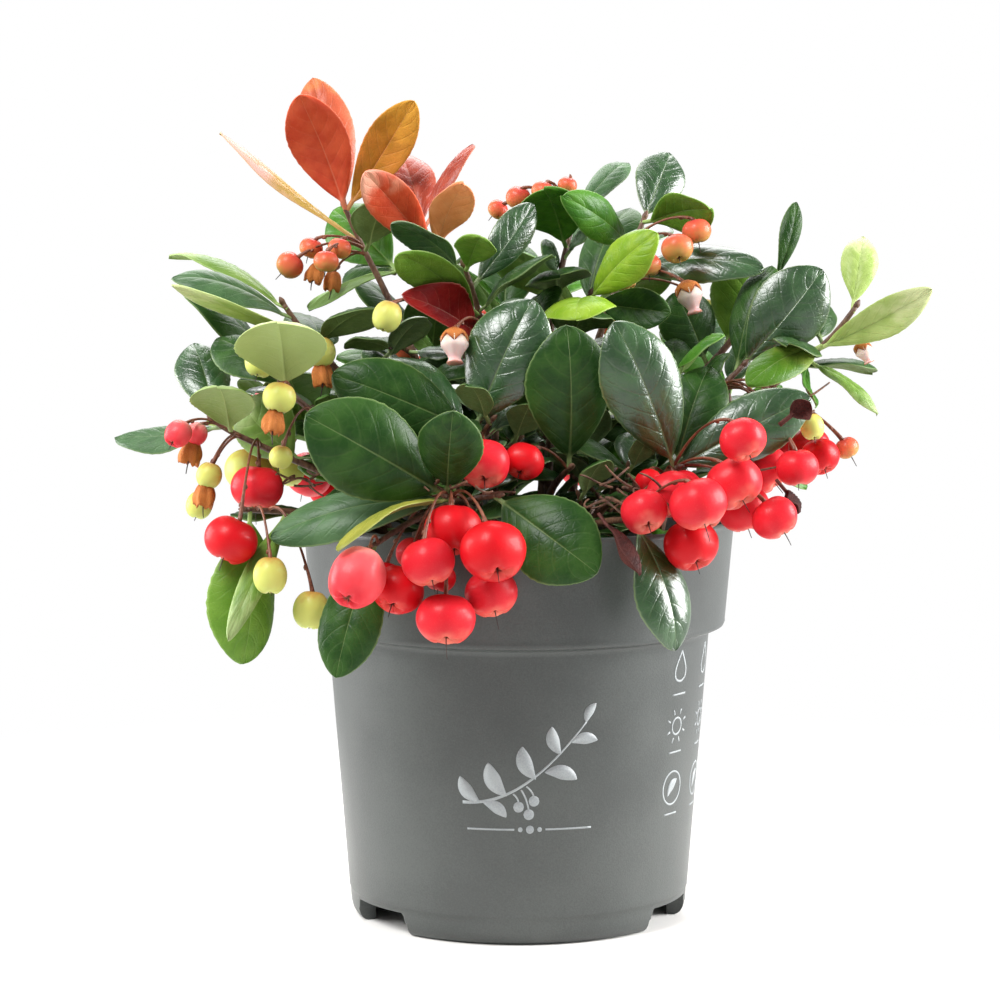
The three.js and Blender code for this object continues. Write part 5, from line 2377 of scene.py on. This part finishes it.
def grain_effect() -> Effect:
    """Returns a grain in the plant's own space: broad and fine patches of two colours.

    Returns:
        The effect.
    """
    effect = Effect(
        "grain",
        {"Dark": (0.1, 0.1, 0.1), "Pale": (0.2, 0.2, 0.2), "Broad": 60.0, "Fine": 900.0, "Gloss": 0.6,
         "Length": 1.0},
        ("Colour", "Roughness", "Height"),
    )
    w, given = effect.wiring, effect.given
    place = w.parts_of(w.node("ShaderNodeTexCoord").outputs["Object"])
    spot = w.vector(place[0], place[1], w.times(place[2], given["Length"]))
    broad, fine = w.noise(spot, given["Broad"], 3.0), w.noise(spot, given["Fine"], 3.0)
    share = w.step(w.plus(w.times(broad, 0.5), w.times(fine, 0.5)), 0.32, 0.68)
    rough = w.plus(given["Gloss"], w.times(w.less(broad, 0.5), 0.25))
    effect.put(Colour=w.blend(share, given["Dark"], given["Pale"]), Roughness=rough, Height=fine)
    return effect


class Paints:
    """The shared effects, built once, and the materials made with them."""

    def __init__(self) -> None:
        """Builds the effects."""
        self.effects = {"leaf_face": leaf_effect(), "fruit_skin": fruit_effect(), "grain": grain_effect()}

    def material(
        self, name: str, effect: str, values: dict[str, object], fixed: dict[str, object], relief: float,
        depth: float
    ) -> Material:
        """Returns a material round one effect.

        Args:
            name: the material's name.
            effect: the effect's name.
            values: the effect's inputs.
            fixed: what is the same all over, set on the shader's own sockets.
            relief: the strength of the relief.
            depth: the depth of the relief, in metres.

        Returns:
            The new material.
        """
        made = bpy.data.materials.new(name)
        made.use_nodes = True
        w = Wiring(made.node_tree)
        shader = made.node_tree.nodes["Principled BSDF"]
        group = w.node("ShaderNodeGroup", node_tree=self.effects[effect].tree)
        for key, value in values.items():
            w.feed(group.inputs[key], value)
        bump = w.node("ShaderNodeBump")
        bump.inputs["Strength"].default_value = relief
        bump.inputs["Distance"].default_value = depth
        w.feed(bump.inputs["Height"], group.outputs["Height"])
        w.feed(shader.inputs["Base Color"], group.outputs["Colour"])
        w.feed(shader.inputs["Roughness"], group.outputs["Roughness"])
        w.feed(shader.inputs["Normal"], bump.outputs[0])
        for key, value in fixed.items():
            w.feed(shader.inputs[key], value)
        return made


def mixed(a: Colour, b: Colour, share: float) -> Colour:
    """Returns a colour between two others."""
    return tuple(x + (y - x) * share for x, y in zip(a, b))


@dataclass(frozen=True)
class LeafFinish:
    """A leaf's two main colours, the pale one of its ribs and rim, its tip's colour, gloss and relief."""

    name: str
    slot: str
    deep: Colour
    light: Colour
    pale: Colour = (0.50, 0.62, 0.26)
    tip: Colour = (0.0, 0.0, 0.0)
    tip_from: float = 2.0
    gloss: float = 0.36
    relief: float = 0.4
    coat: float = 0.04
    shine: float = 0.17

    def material(self, paints: Paints) -> Material:
        """Returns the leaf's material.

        Args:
            paints: the shared effects.

        Returns:
            The new material.
        """
        values = {
            "Deep": self.deep, "Light": self.light, "Rib": mixed(self.light, self.pale, 0.35),
            "Edge": mixed(self.light, self.pale, 0.4), "Under": mixed(self.light, self.pale, 0.22),
            "Under Rib": mixed(self.light, self.pale, 0.55), "Tip": self.tip, "Tip From": self.tip_from,
            "Gloss": self.gloss,
        }
        fixed = {"Coat Weight": self.coat, "Coat Roughness": 0.22, "Specular IOR Level": self.shine}
        return paints.material(f"leaves_{self.name}", "leaf_face", values, fixed, self.relief, 0.0005)


@dataclass(frozen=True)
class FruitFinish:
    """The skin of a fruit or flower."""

    name: str
    near: Colour
    middle: Colour
    far: Colour
    star: Colour
    fade: float = 0.75
    gloss: float = 0.42
    coat: float = 0.07
    glow: float = 0.12
    relief: float = 0.12

    def material(self, paints: Paints) -> Material:
        """Returns the fruit's material.

        Args:
            paints: the shared effects.

        Returns:
            The new material.
        """
        values = {
            "Near": self.near, "Middle": self.middle, "Far": self.far, "Star": self.star,
            "Fade": self.fade, "Gloss": self.gloss,
        }
        fixed = {
            "Coat Weight": self.coat, "Coat Roughness": 0.12, "Subsurface Weight": self.glow,
            "Subsurface Scale": 0.002, "Specular IOR Level": 0.16,
        }
        return paints.material(self.name, "fruit_skin", values, fixed, self.relief, 0.0004)


@dataclass(frozen=True)
class GrainFinish:
    """A finish with a grain in the plant's own space."""

    name: str
    dark: Colour
    pale: Colour
    broad: float
    fine: float
    gloss: float
    relief: float
    depth: float
    length: float = 1.0
    coat: float = 0.0

    def material(self, paints: Paints) -> Material:
        """Returns the material.

        Args:
            paints: the shared effects.

        Returns:
            The new material.
        """
        values = {
            "Dark": self.dark, "Pale": self.pale, "Broad": self.broad, "Fine": self.fine,
            "Gloss": self.gloss, "Length": self.length,
        }
        return paints.material(self.name, "grain", values, {"Coat Weight": self.coat}, self.relief,
                               self.depth)


ROSE = (0.80, 0.46, 0.30)
LEAF, RED_LEAF = "leaf", "red_leaf"
LEAF_FINISHES = (
    LeafFinish("dark", LEAF, (0.012, 0.044, 0.007), (0.034, 0.09, 0.014)),
    LeafFinish("glossy", LEAF, (0.01, 0.043, 0.009), (0.028, 0.09, 0.02), gloss=0.3, relief=0.5, coat=0.45,
               shine=0.8),
    LeafFinish("grey", LEAF, (0.038, 0.092, 0.032), (0.068, 0.145, 0.055), gloss=0.42, shine=0.3),
    LeafFinish("mid", LEAF, (0.03, 0.12, 0.008), (0.072, 0.205, 0.016)),
    LeafFinish("bright", LEAF, (0.09, 0.2, 0.018), (0.155, 0.285, 0.036)),
    LeafFinish("fresh", LEAF, (0.11, 0.205, 0.032), (0.19, 0.3, 0.062), tip=(0.29, 0.38, 0.15),
               tip_from=0.55),
    LeafFinish("pale", LEAF, (0.29, 0.4, 0.1), (0.41, 0.52, 0.17), tip=(0.5, 0.55, 0.27),
               tip_from=0.5),
    LeafFinish("lime", LEAF, (0.155, 0.285, 0.012), (0.265, 0.39, 0.03)),
    LeafFinish("turning", LEAF, (0.16, 0.24, 0.03), (0.24, 0.31, 0.055), tip=(0.06, 0.15, 0.012),
               tip_from=0.25),
    LeafFinish("olive", LEAF, (0.19, 0.205, 0.03), (0.3, 0.29, 0.045)),
    LeafFinish("ember", RED_LEAF, (0.42, 0.085, 0.04), (0.54, 0.14, 0.068), ROSE, (0.6, 0.2, 0.06), 0.75),
    LeafFinish("scarlet", RED_LEAF, (0.5, 0.05, 0.019), (0.66, 0.105, 0.04), ROSE, relief=0.2),
    LeafFinish("flame", RED_LEAF, (0.56, 0.06, 0.024), (0.68, 0.11, 0.044), ROSE, (0.74, 0.34, 0.24), 0.6),
    LeafFinish("amber", RED_LEAF, (0.35, 0.15, 0.013), (0.5, 0.185, 0.028), ROSE, (0.58, 0.28, 0.03), 0.5),
    # A rust-red leaf whose colour is raised well past a real leaf's to make up for the shade it sits in: partly its
    # own colour, partly painted light.
    LeafFinish("rust", RED_LEAF, (0.78, 0.24, 0.095), (0.86, 0.33, 0.16), ROSE),
    LeafFinish("blush", RED_LEAF, (0.42, 0.28, 0.065), (0.52, 0.33, 0.1), ROSE, (0.7, 0.42, 0.36), 0.4,
               relief=0.2),
    LeafFinish("maroon", RED_LEAF, (0.24, 0.03, 0.015), (0.36, 0.06, 0.028), ROSE, gloss=0.34, relief=0.4,
               coat=0.08, shine=0.25),
    LeafFinish("wine", RED_LEAF, (0.15, 0.004, 0.005), (0.24, 0.011, 0.009), ROSE),
    LeafFinish("dry", "stem", (0.03, 0.008, 0.007), (0.08, 0.02, 0.016), (0.14, 0.06, 0.05), gloss=0.6,
               relief=1.0, coat=0.0),
)
FRUIT_FINISHES = (
    FruitFinish("berries_ripe", (0.42, 0.003, 0.006), (0.56, 0.005, 0.01), (0.66, 0.08, 0.06),
                (0.1, 0.015, 0.01)),
    FruitFinish("berries_rosy", (0.54, 0.008, 0.015), (0.63, 0.015, 0.026), (0.73, 0.19, 0.13),
                (0.14, 0.02, 0.012),
                0.66),
    FruitFinish("berries_pale", (0.8, 0.38, 0.32), (0.74, 0.085, 0.095), (0.68, 0.016, 0.03),
                (0.2, 0.08, 0.05),
                0.45),
    FruitFinish("berries_blush", (0.56, 0.06, 0.045), (0.6, 0.125, 0.055), (0.44, 0.32, 0.08),
                (0.11, 0.02, 0.012),
                0.42, 0.36),
    FruitFinish("berries_green", (0.46, 0.23, 0.05), (0.54, 0.55, 0.13), (0.56, 0.61, 0.17),
                (0.26, 0.12, 0.03),
                0.5, 0.42),
    FruitFinish("flowers_dry", (0.34, 0.1, 0.022), (0.52, 0.175, 0.042), (0.4, 0.115, 0.03),
                (0.2, 0.05, 0.02),
                0.6, 0.62, 0.0, 0.05, 0.9),
    FruitFinish("flowers_bud", (0.6, 0.42, 0.26), (0.68, 0.54, 0.5), (0.7, 0.4, 0.38), (0.5, 0.24, 0.18),
                0.5, 0.45, 0.05, 0.2, 0.2),
)
GRAIN_FINISHES = {
    "pot": GrainFinish("pot_plastic", (0.046, 0.051, 0.049), (0.068, 0.075, 0.071), 45, 2600, 0.38, 0.32,
                       0.00012),
    "print": GrainFinish("print_ink", (0.25, 0.27, 0.28), (0.34, 0.365, 0.37), 90, 3200, 0.5, 0.25, 0.00005),
    "compost": GrainFinish("compost_peat", (0.008, 0.005, 0.003), (0.045, 0.027, 0.017), 130, 900, 0.9, 1.0,
                           0.0012),
    "crumbs": GrainFinish("compost_crumbs", (0.01, 0.006, 0.004), (0.085, 0.05, 0.03), 260, 1700, 0.88, 0.8,
                          0.0006),
    "bark": GrainFinish("stems_bark", (0.06, 0.022, 0.014), (0.17, 0.085, 0.045), 220, 1500, 0.55, 0.8,
                        0.0004, 0.35),
    "stalks": GrainFinish("fruit_stalks", (0.09, 0.024, 0.012), (0.24, 0.075, 0.035), 200, 1200, 0.45, 0.4,
                          0.0002),
    "styles": GrainFinish("fruit_threads", (0.012, 0.007, 0.006), (0.05, 0.022, 0.016), 200, 1200, 0.6, 0.3,
                          0.0001),
    "tangle": GrainFinish("dry_stalks", (0.05, 0.02, 0.01), (0.19, 0.085, 0.045), 240, 1400, 0.7, 0.6,
                          0.0003),
}

# Which finish a leaf of the photographed side wears, by its number in its mass
WORN = {
    "red_crown": {0: "ember", 1: "scarlet", 2: "amber", 3: "blush"},
    # The third leaf of red_centre wears the rust-red finish, whose raised colour is partly painted light.
    "red_centre": {0: "maroon", 1: "maroon", 2: "rust", 3: "flame"},
    "top_middle": {0: "glossy", 1: "bright", 2: "glossy", 3: "bright", 4: "wine"},
    "top_back": {0: "grey", 2: "grey", 3: "grey"},
    "top_right": {0: "glossy", 1: "bright", 2: "glossy"},
    "left_upper": {0: "fresh", 1: "grey", 2: "pale"},
    "left_middle": {0: "pale"},
    "left_low": {0: "glossy", 1: "fresh", 2: "grey", 3: "fresh"},
    "left_front": {0: "bright", 1: "fresh"},
    "front_left": {2: "grey", 3: "olive"},
    "front_right": {0: "glossy"},
    "centre_left": {0: "glossy", 1: "glossy"},
    "centre_right": {0: "glossy", 2: "glossy"},
    "right_middle": {0: "glossy"},
    "right_far": {0: "pale", 1: "pale", 2: "turning", 3: "fresh"},
    "right_back": {0: "bright", 2: "dark"},
}

# Which leaves of the photographed side show their underside
UNDERSIDES = {"red_centre": {6}, "left_middle": {0}, "left_low": {1}, "front_left": {3}}

# Which fruits, by their number in their mass, still bear the dry flower
WITHERED = {"left_upper": {3}, "left_middle": {2}, "left_low": {5, 6}}

# The bunch behind that is still green
UNRIPE = "back_low_6"


@dataclass
class Foliage:
    """Dresses the crown: leaves by finish, fruit by kind, stems, threads and dry stalks."""

    crown: Crown
    twigs: Twigs
    paints: Paints
    limit: int = 185_000
    heel: float = 2.5
    twig_radii: tuple[float, float] = (0.62, 0.42)
    rosy_share: float = 0.3
    rosy_right: float = 0.75
    scrap_tries: int = 24
    tangle_radius: float = 0.34
    stream: Stream = seeded(11)
    maker: LeafMaker = field(default_factory=LeafMaker)
    castings: dict[str, list[Casting]] = field(default_factory=dict)
    owner: dict[str, str] = field(default_factory=dict)
    parts: dict[str, Casting] = field(default_factory=dict)

    def casting(self, finish: str) -> Casting:
        """Returns the casting of a finish that still has room.

        Args:
            finish: the finish's name.

        Returns:
            The casting.
        """
        row = self.castings.setdefault(finish, [Casting()])
        if row[-1].triangles > self.limit:
            row.append(Casting())
        return row[-1]

    def finish_of(self, item: Item, number: int, front: bool) -> str:
        """Returns the finish that a leaf wears; inside the front masses it is darker, as painted shade.

        Args:
            item: the leaf.
            number: its number in its mass.
            front: whether the photograph shows it.

        Returns:
            The finish's name.
        """
        worn = WORN.get(item.mass.name, {}).get(number) if front else None
        if worn:
            return worn
        pick = self.stream.draw()
        # Leaves inside the front masses take only the dark and mid finishes, never lime or red: painted shade of the
        # crown's inside.
        inside_painted_shade = item.mass.name in FRONT and not front
        if item.tint is Tint.DARK or (inside_painted_shade and pick < 0.7):
            return "dark" if front or pick < 0.7 else "glossy" if pick < 0.88 else "grey"
        return "mid" if inside_painted_shade else item.tint.value

    def face_of(self, item: Item, number: int, front: bool, eye: Array) -> int:
        """Returns on which side of its plate a leaf has its upper face.

        Args:
            item: the leaf.
            number: its number in its mass.
            front: whether the photograph shows it.
            eye: where it is looked at from.

        Returns:
            1 on the plate's normal, -1 opposite.
        """
        if not front:
            return 1
        seen = 1 if (eye - item.middle) @ item.blade.normal > 0 else -1
        return -seen if number in UNDERSIDES.get(item.mass.name, set()) else seen

    def leaves(self, eye: Array) -> None:
        """Makes the leaves of all masses and twigs.

        Args:
            eye: where the photographed side is looked at from.
        """
        for mass in self.crown.masses:
            shown = sum(len(one.leaves) for one in mass.shoots)
            for number, item in enumerate(mass.items):
                if item is None or not item.blade:
                    continue
                front = number < shown
                finish = self.finish_of(item, number, front)
                self.owner.setdefault(mass.name, finish)
                self.maker.add(self.casting(finish), item.blade, self.face_of(item, number, front, eye),
                               front)
        # Twig leaves of the front masses take the same darker inside finishes: painted shade.
        for item in self.twigs.leaves:
            self.maker.add(self.casting(self.finish_of(item, 0, False)), item.blade, 1, False)

    def fruit(self) -> None:
        """Makes the fruit with its stalks and threads."""
        self.parts = {
            key: Casting()
            for key in ("stalks", "styles", "corollas", "buds", "ripe", "rosy", "pale", "blush", "green")
        }
        maker = FruitMaker(self.parts)
        for mass in self.crown.masses:
            for number, item in enumerate(mass.items):
                if item is None or not item.ball:
                    continue
                radius = item.ball[1]
                finish = "ripe"
                if item.kind is Kind.GREEN or mass.name == UNRIPE:
                    finish = "green"
                elif item.kind is Kind.BLUSH:
                    finish = "pale" if radius > 5 or mass.name == "left_low" else "blush"
                elif self.stream.draw() < (self.rosy_right if "right" in mass.name else self.rosy_share):
                    finish = "rosy"
                maker.add(item, finish, number in WITHERED.get(mass.name, set()))

    def stems(self) -> Casting:
        """Returns the casting of all stems, with their end buds.

        Returns:
            The casting.
        """
        casting = Casting()
        maker = StemMaker(casting)
        for mass in self.crown.masses:
            for i, line in enumerate(mass.lines):
                start = BOUGH_RADIUS if i == 0 else FORK_RADIUS
                maker.limb(line, start, TIP_RADIUS, self.heel if i == 0 else 0.0)
                maker.end_bud(line, TIP_RADIUS)
        for line in self.twigs.twigs:
            maker.limb(line, *self.twig_radii, step=1.3)
            maker.end_bud(line, 0.45)
        return casting

    def dry_stalks(self) -> Casting:
        """Returns the tangle of old, curled stalks among the bunches.

        Returns:
            The casting.
        """
        stream = Stream(SEED + 23)
        casting = Casting()
        for x, y, z, reach, count in DRY_SITES:
            for _ in range(count):
                start = np.array([stream.spread(x, reach), stream.spread(y, reach * 0.6),
                                  stream.spread(z, 2.5)])
                way = stream.spread(0, math.pi)
                length, sweep = stream.spread(9, 4), stream.spread(0, 3.4)
                k = np.linspace(0, 1, 18)
                turn = way + sweep * k
                steps = np.stack([np.cos(turn), 0.7 * np.sin(turn), 0.5 * np.sin(2.2 * turn)],
                                 1) * length / 17
                path = start + np.cumsum(steps, axis=0)
                casting.tube(path, self.tangle_radius - 0.14 * k, 7)
        return casting

    def scraps(self) -> None:
        """Adds the withered scraps, each brought forward until it touches nothing."""
        for root, tip, width, roll in DRY_SCRAPS:
            for forward in range(self.scrap_tries):
                step = BACK * forward
                blade = Blade(np.array(root) - step, np.array(tip) - step, width, roll, 0.15, 0.9)
                item = Item(self.crown.masses[0], blade.middle, blade.length / 2 + 2, blade=blade)
                if self.crown.clear(item):
                    self.crown.keep(item)
                    self.maker.add(self.casting("dry"), blade, 1, False)
                    log.info("withered scrap brought forward by %d mm", forward)
                    break

    def build(self, eye: Array) -> None:
        """Makes all pieces of the crown.

        Args:
            eye: where the photographed side is looked at from.
        """
        self.leaves(eye)
        self.fruit()
        nodes: dict[str, list[str]] = {}
        for mass, finish in self.owner.items():
            nodes.setdefault(finish, []).append(mass)
        self.scraps()
        for finish in LEAF_FINISHES:
            material = finish.material(self.paints)
            for i, casting in enumerate(self.castings[finish.name]):
                mine = nodes.get(finish.name, []) if i == 0 else []
                piece = casting.piece(f"leaves_{finish.name}_{i + 1}", finish.slot, *mine)
                piece.data.materials.append(material)
        slots = {"flowers_dry": "corollas", "flowers_bud": "buds"}
        for finish in FRUIT_FINISHES:
            key = slots.get(finish.name, finish.name.removeprefix("berries_"))
            piece = self.parts[key].piece(finish.name, "stem" if key == "corollas" else "berry")
            piece.data.materials.append(finish.material(self.paints))
        boughs = tuple(f"{mass.name}_stem" for mass in self.crown.masses)
        for key, casting, name, nodes in (
            ("bark", self.stems(), "stems", boughs), ("stalks", self.parts["stalks"], "fruit_stalks", ()),
            ("styles", self.parts["styles"], "fruit_threads", ()),
            ("tangle", self.dry_stalks(), "dry_stalks", ()),
        ):
            piece = casting.piece(name, "stem", *nodes, mapped=False)
            piece.data.materials.append(GRAIN_FINISHES[key].material(self.paints))


# Old stalks: middle, reach and count
DRY_SITES = (
    (25.0, -49.0, 107.0, 8.0, 22), (-16.0, -51.0, 109.0, 8.0, 16), (50.0, -38.0, 110.0, 6.0, 8),
    (64.0, -24.0, 124.0, 5.0, 8), (-50.2, -36.0, 109.1, 3.5, 8), (-8.0, -40.0, 116.0, 6.0, 10),
)

# Withered scraps: root, tip, width and roll
DRY_SCRAPS = (
    ((60.6, -36.0, 122.3), (67.0, -38.0, 127.7), 5.6, -70.0),
    ((59.6, -38.0, 109.2), (65.0, -42.0, 102.8), 6.4, -50.0),
    ((18.0, -58.0, 103.2), (27.2, -66.0, 90.8), 7.0, -40.0),
)


@dataclass(frozen=True)
class Studio:
    """The camera, the lights and the pale floor."""

    eye: Vector = (-0.0045, -0.800, 0.1806)
    target: Vector = (-0.0045, 0.0, 0.1009)
    lens: float = 119.05
    lit: Vector = (0.0, 0.0, 0.12)
    paper: Colour = (0.80, 0.79, 0.77)
    fades: tuple[float, float] = (0.07, 0.30)
    floor_half: float = 3.0
    surround: float = 0.36
    mirrored: float = 0.3
    lamps: tuple[tuple[str, Vector, float, float], ...] = (
        ("key", (-0.50, -0.50, 0.95), 0.5, 15.0),
        ("right", (0.95, 0.05, 0.40), 0.6, 25.0),
        ("left", (-0.95, 0.20, 0.30), 0.6, 13.0),
        ("back", (0.0, 0.75, 0.85), 0.8, 11.0),
    )

    def aim(self, thing: Object, target: Vector) -> None:
        """Turns a light or camera to a place."""
        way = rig.Vector(target) - thing.location
        thing.rotation_euler = way.to_track_quat("-Z", "Y").to_euler()

    def camera(self) -> None:
        """Sets the camera where the photograph was taken from."""
        camera = bpy.data.objects.new("camera", bpy.data.cameras.new("camera"))
        bpy.context.scene.collection.objects.link(camera)
        camera.location = self.eye
        camera.data.lens, camera.data.sensor_width = self.lens, 36.0
        camera.data.clip_start, camera.data.clip_end = 0.05, 20.0
        self.aim(camera, self.target)
        bpy.context.scene.camera = camera

    def lamp(self, name: str, place: Vector, size: float, power: float) -> None:
        """Adds a square soft light that faces the plant.

        Args:
            name: its name.
            place: where it hangs.
            size: its side, in metres.
            power: its power, in watts.
        """
        lamp = bpy.data.objects.new(name, bpy.data.lights.new(name, "AREA"))
        bpy.context.scene.collection.objects.link(lamp)
        lamp.location, lamp.data.size, lamp.data.energy = place, size, power
        self.aim(lamp, self.lit)

    def build(self) -> None:
        """Makes the floor, the even white surround and the lights."""
        scene = bpy.context.scene
        scene.view_settings.view_transform = "Standard"
        scene.world = bpy.data.worlds.new("surround")
        scene.world.use_nodes = True
        w = Wiring(scene.world.node_tree)
        around = scene.world.node_tree.nodes["Background"]
        w.feed(around.inputs["Color"], (1.0, 1.0, 1.0))
        ray = w.node("ShaderNodeLightPath").outputs
        lit = w.between(ray["Is Glossy Ray"], self.surround, self.mirrored)
        w.feed(around.inputs["Strength"], w.between(ray["Is Camera Ray"], lit, 1.0))
        mesh = bpy.data.meshes.new("floor")
        far = self.floor_half
        mesh.from_pydata([(-far, -far, 0), (far, -far, 0), (far, far, 0), (-far, far, 0)], [], [(0, 1, 2, 3)])
        floor = bpy.data.objects.new("floor", mesh)
        scene.collection.objects.link(floor)
        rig.stage(floor)
        paper = bpy.data.materials.new("floor_paper")
        paper.use_nodes = True
        w = Wiring(paper.node_tree)
        shader = paper.node_tree.nodes["Principled BSDF"]
        w.feed(shader.inputs["Base Color"], self.paper)
        w.feed(shader.inputs["Roughness"], 1.0)
        w.feed(shader.inputs["Specular IOR Level"], 0.0)
        white = w.node("ShaderNodeEmission")
        away = w.node("ShaderNodeVectorMath", operation="LENGTH")
        w.feed(away.inputs[0], w.node("ShaderNodeTexCoord").outputs["Object"])
        both = w.node("ShaderNodeMixShader")
        w.feed(both.inputs[0], w.step(away.outputs["Value"], *self.fades))
        w.feed(both.inputs[1], shader.outputs[0])
        w.feed(both.inputs[2], white.outputs[0])
        w.feed(paper.node_tree.nodes["Material Output"].inputs["Surface"], both.outputs[0])
        mesh.materials.append(paper)
        for lamp in self.lamps:
            self.lamp(*lamp)
        self.camera()


def main() -> None:
    """Builds the plant, its pot and the studio in order."""
    logging.basicConfig(level=logging.INFO, format="%(name)s %(message)s")
    studio = Studio()
    studio.build()
    paints = Paints()
    crown = Crown()
    add_berries(crown)
    twigs = Twigs(crown)
    log.info("%d leaves and fruits by the solids' rule, %d finer twigs with %d leaves",
             sum(item is not None for mass in crown.masses for item in mass.items), len(twigs.twigs),
             len(twigs.leaves))
    Foliage(crown, twigs, paints).build(np.array(studio.eye) / MM)
    pot = POT.build()
    pot.data.materials.append(GRAIN_FINISHES["pot"].material(paints))
    ink = PrintMaker().build()
    ink.data.materials.append(GRAIN_FINISHES["print"].material(paints))
    filling, crumbs = CompostMaker().build()
    filling.data.materials.append(GRAIN_FINISHES["compost"].material(paints))
    crumbs.data.materials.append(GRAIN_FINISHES["crumbs"].material(paints))
    with open("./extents.json", "w") as out:
        json.dump({"solids": [list(c) for c in solid_box], "visual": [list(c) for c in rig.bounds()]}, out, indent=1)


if __name__ == "__main__":
    main()
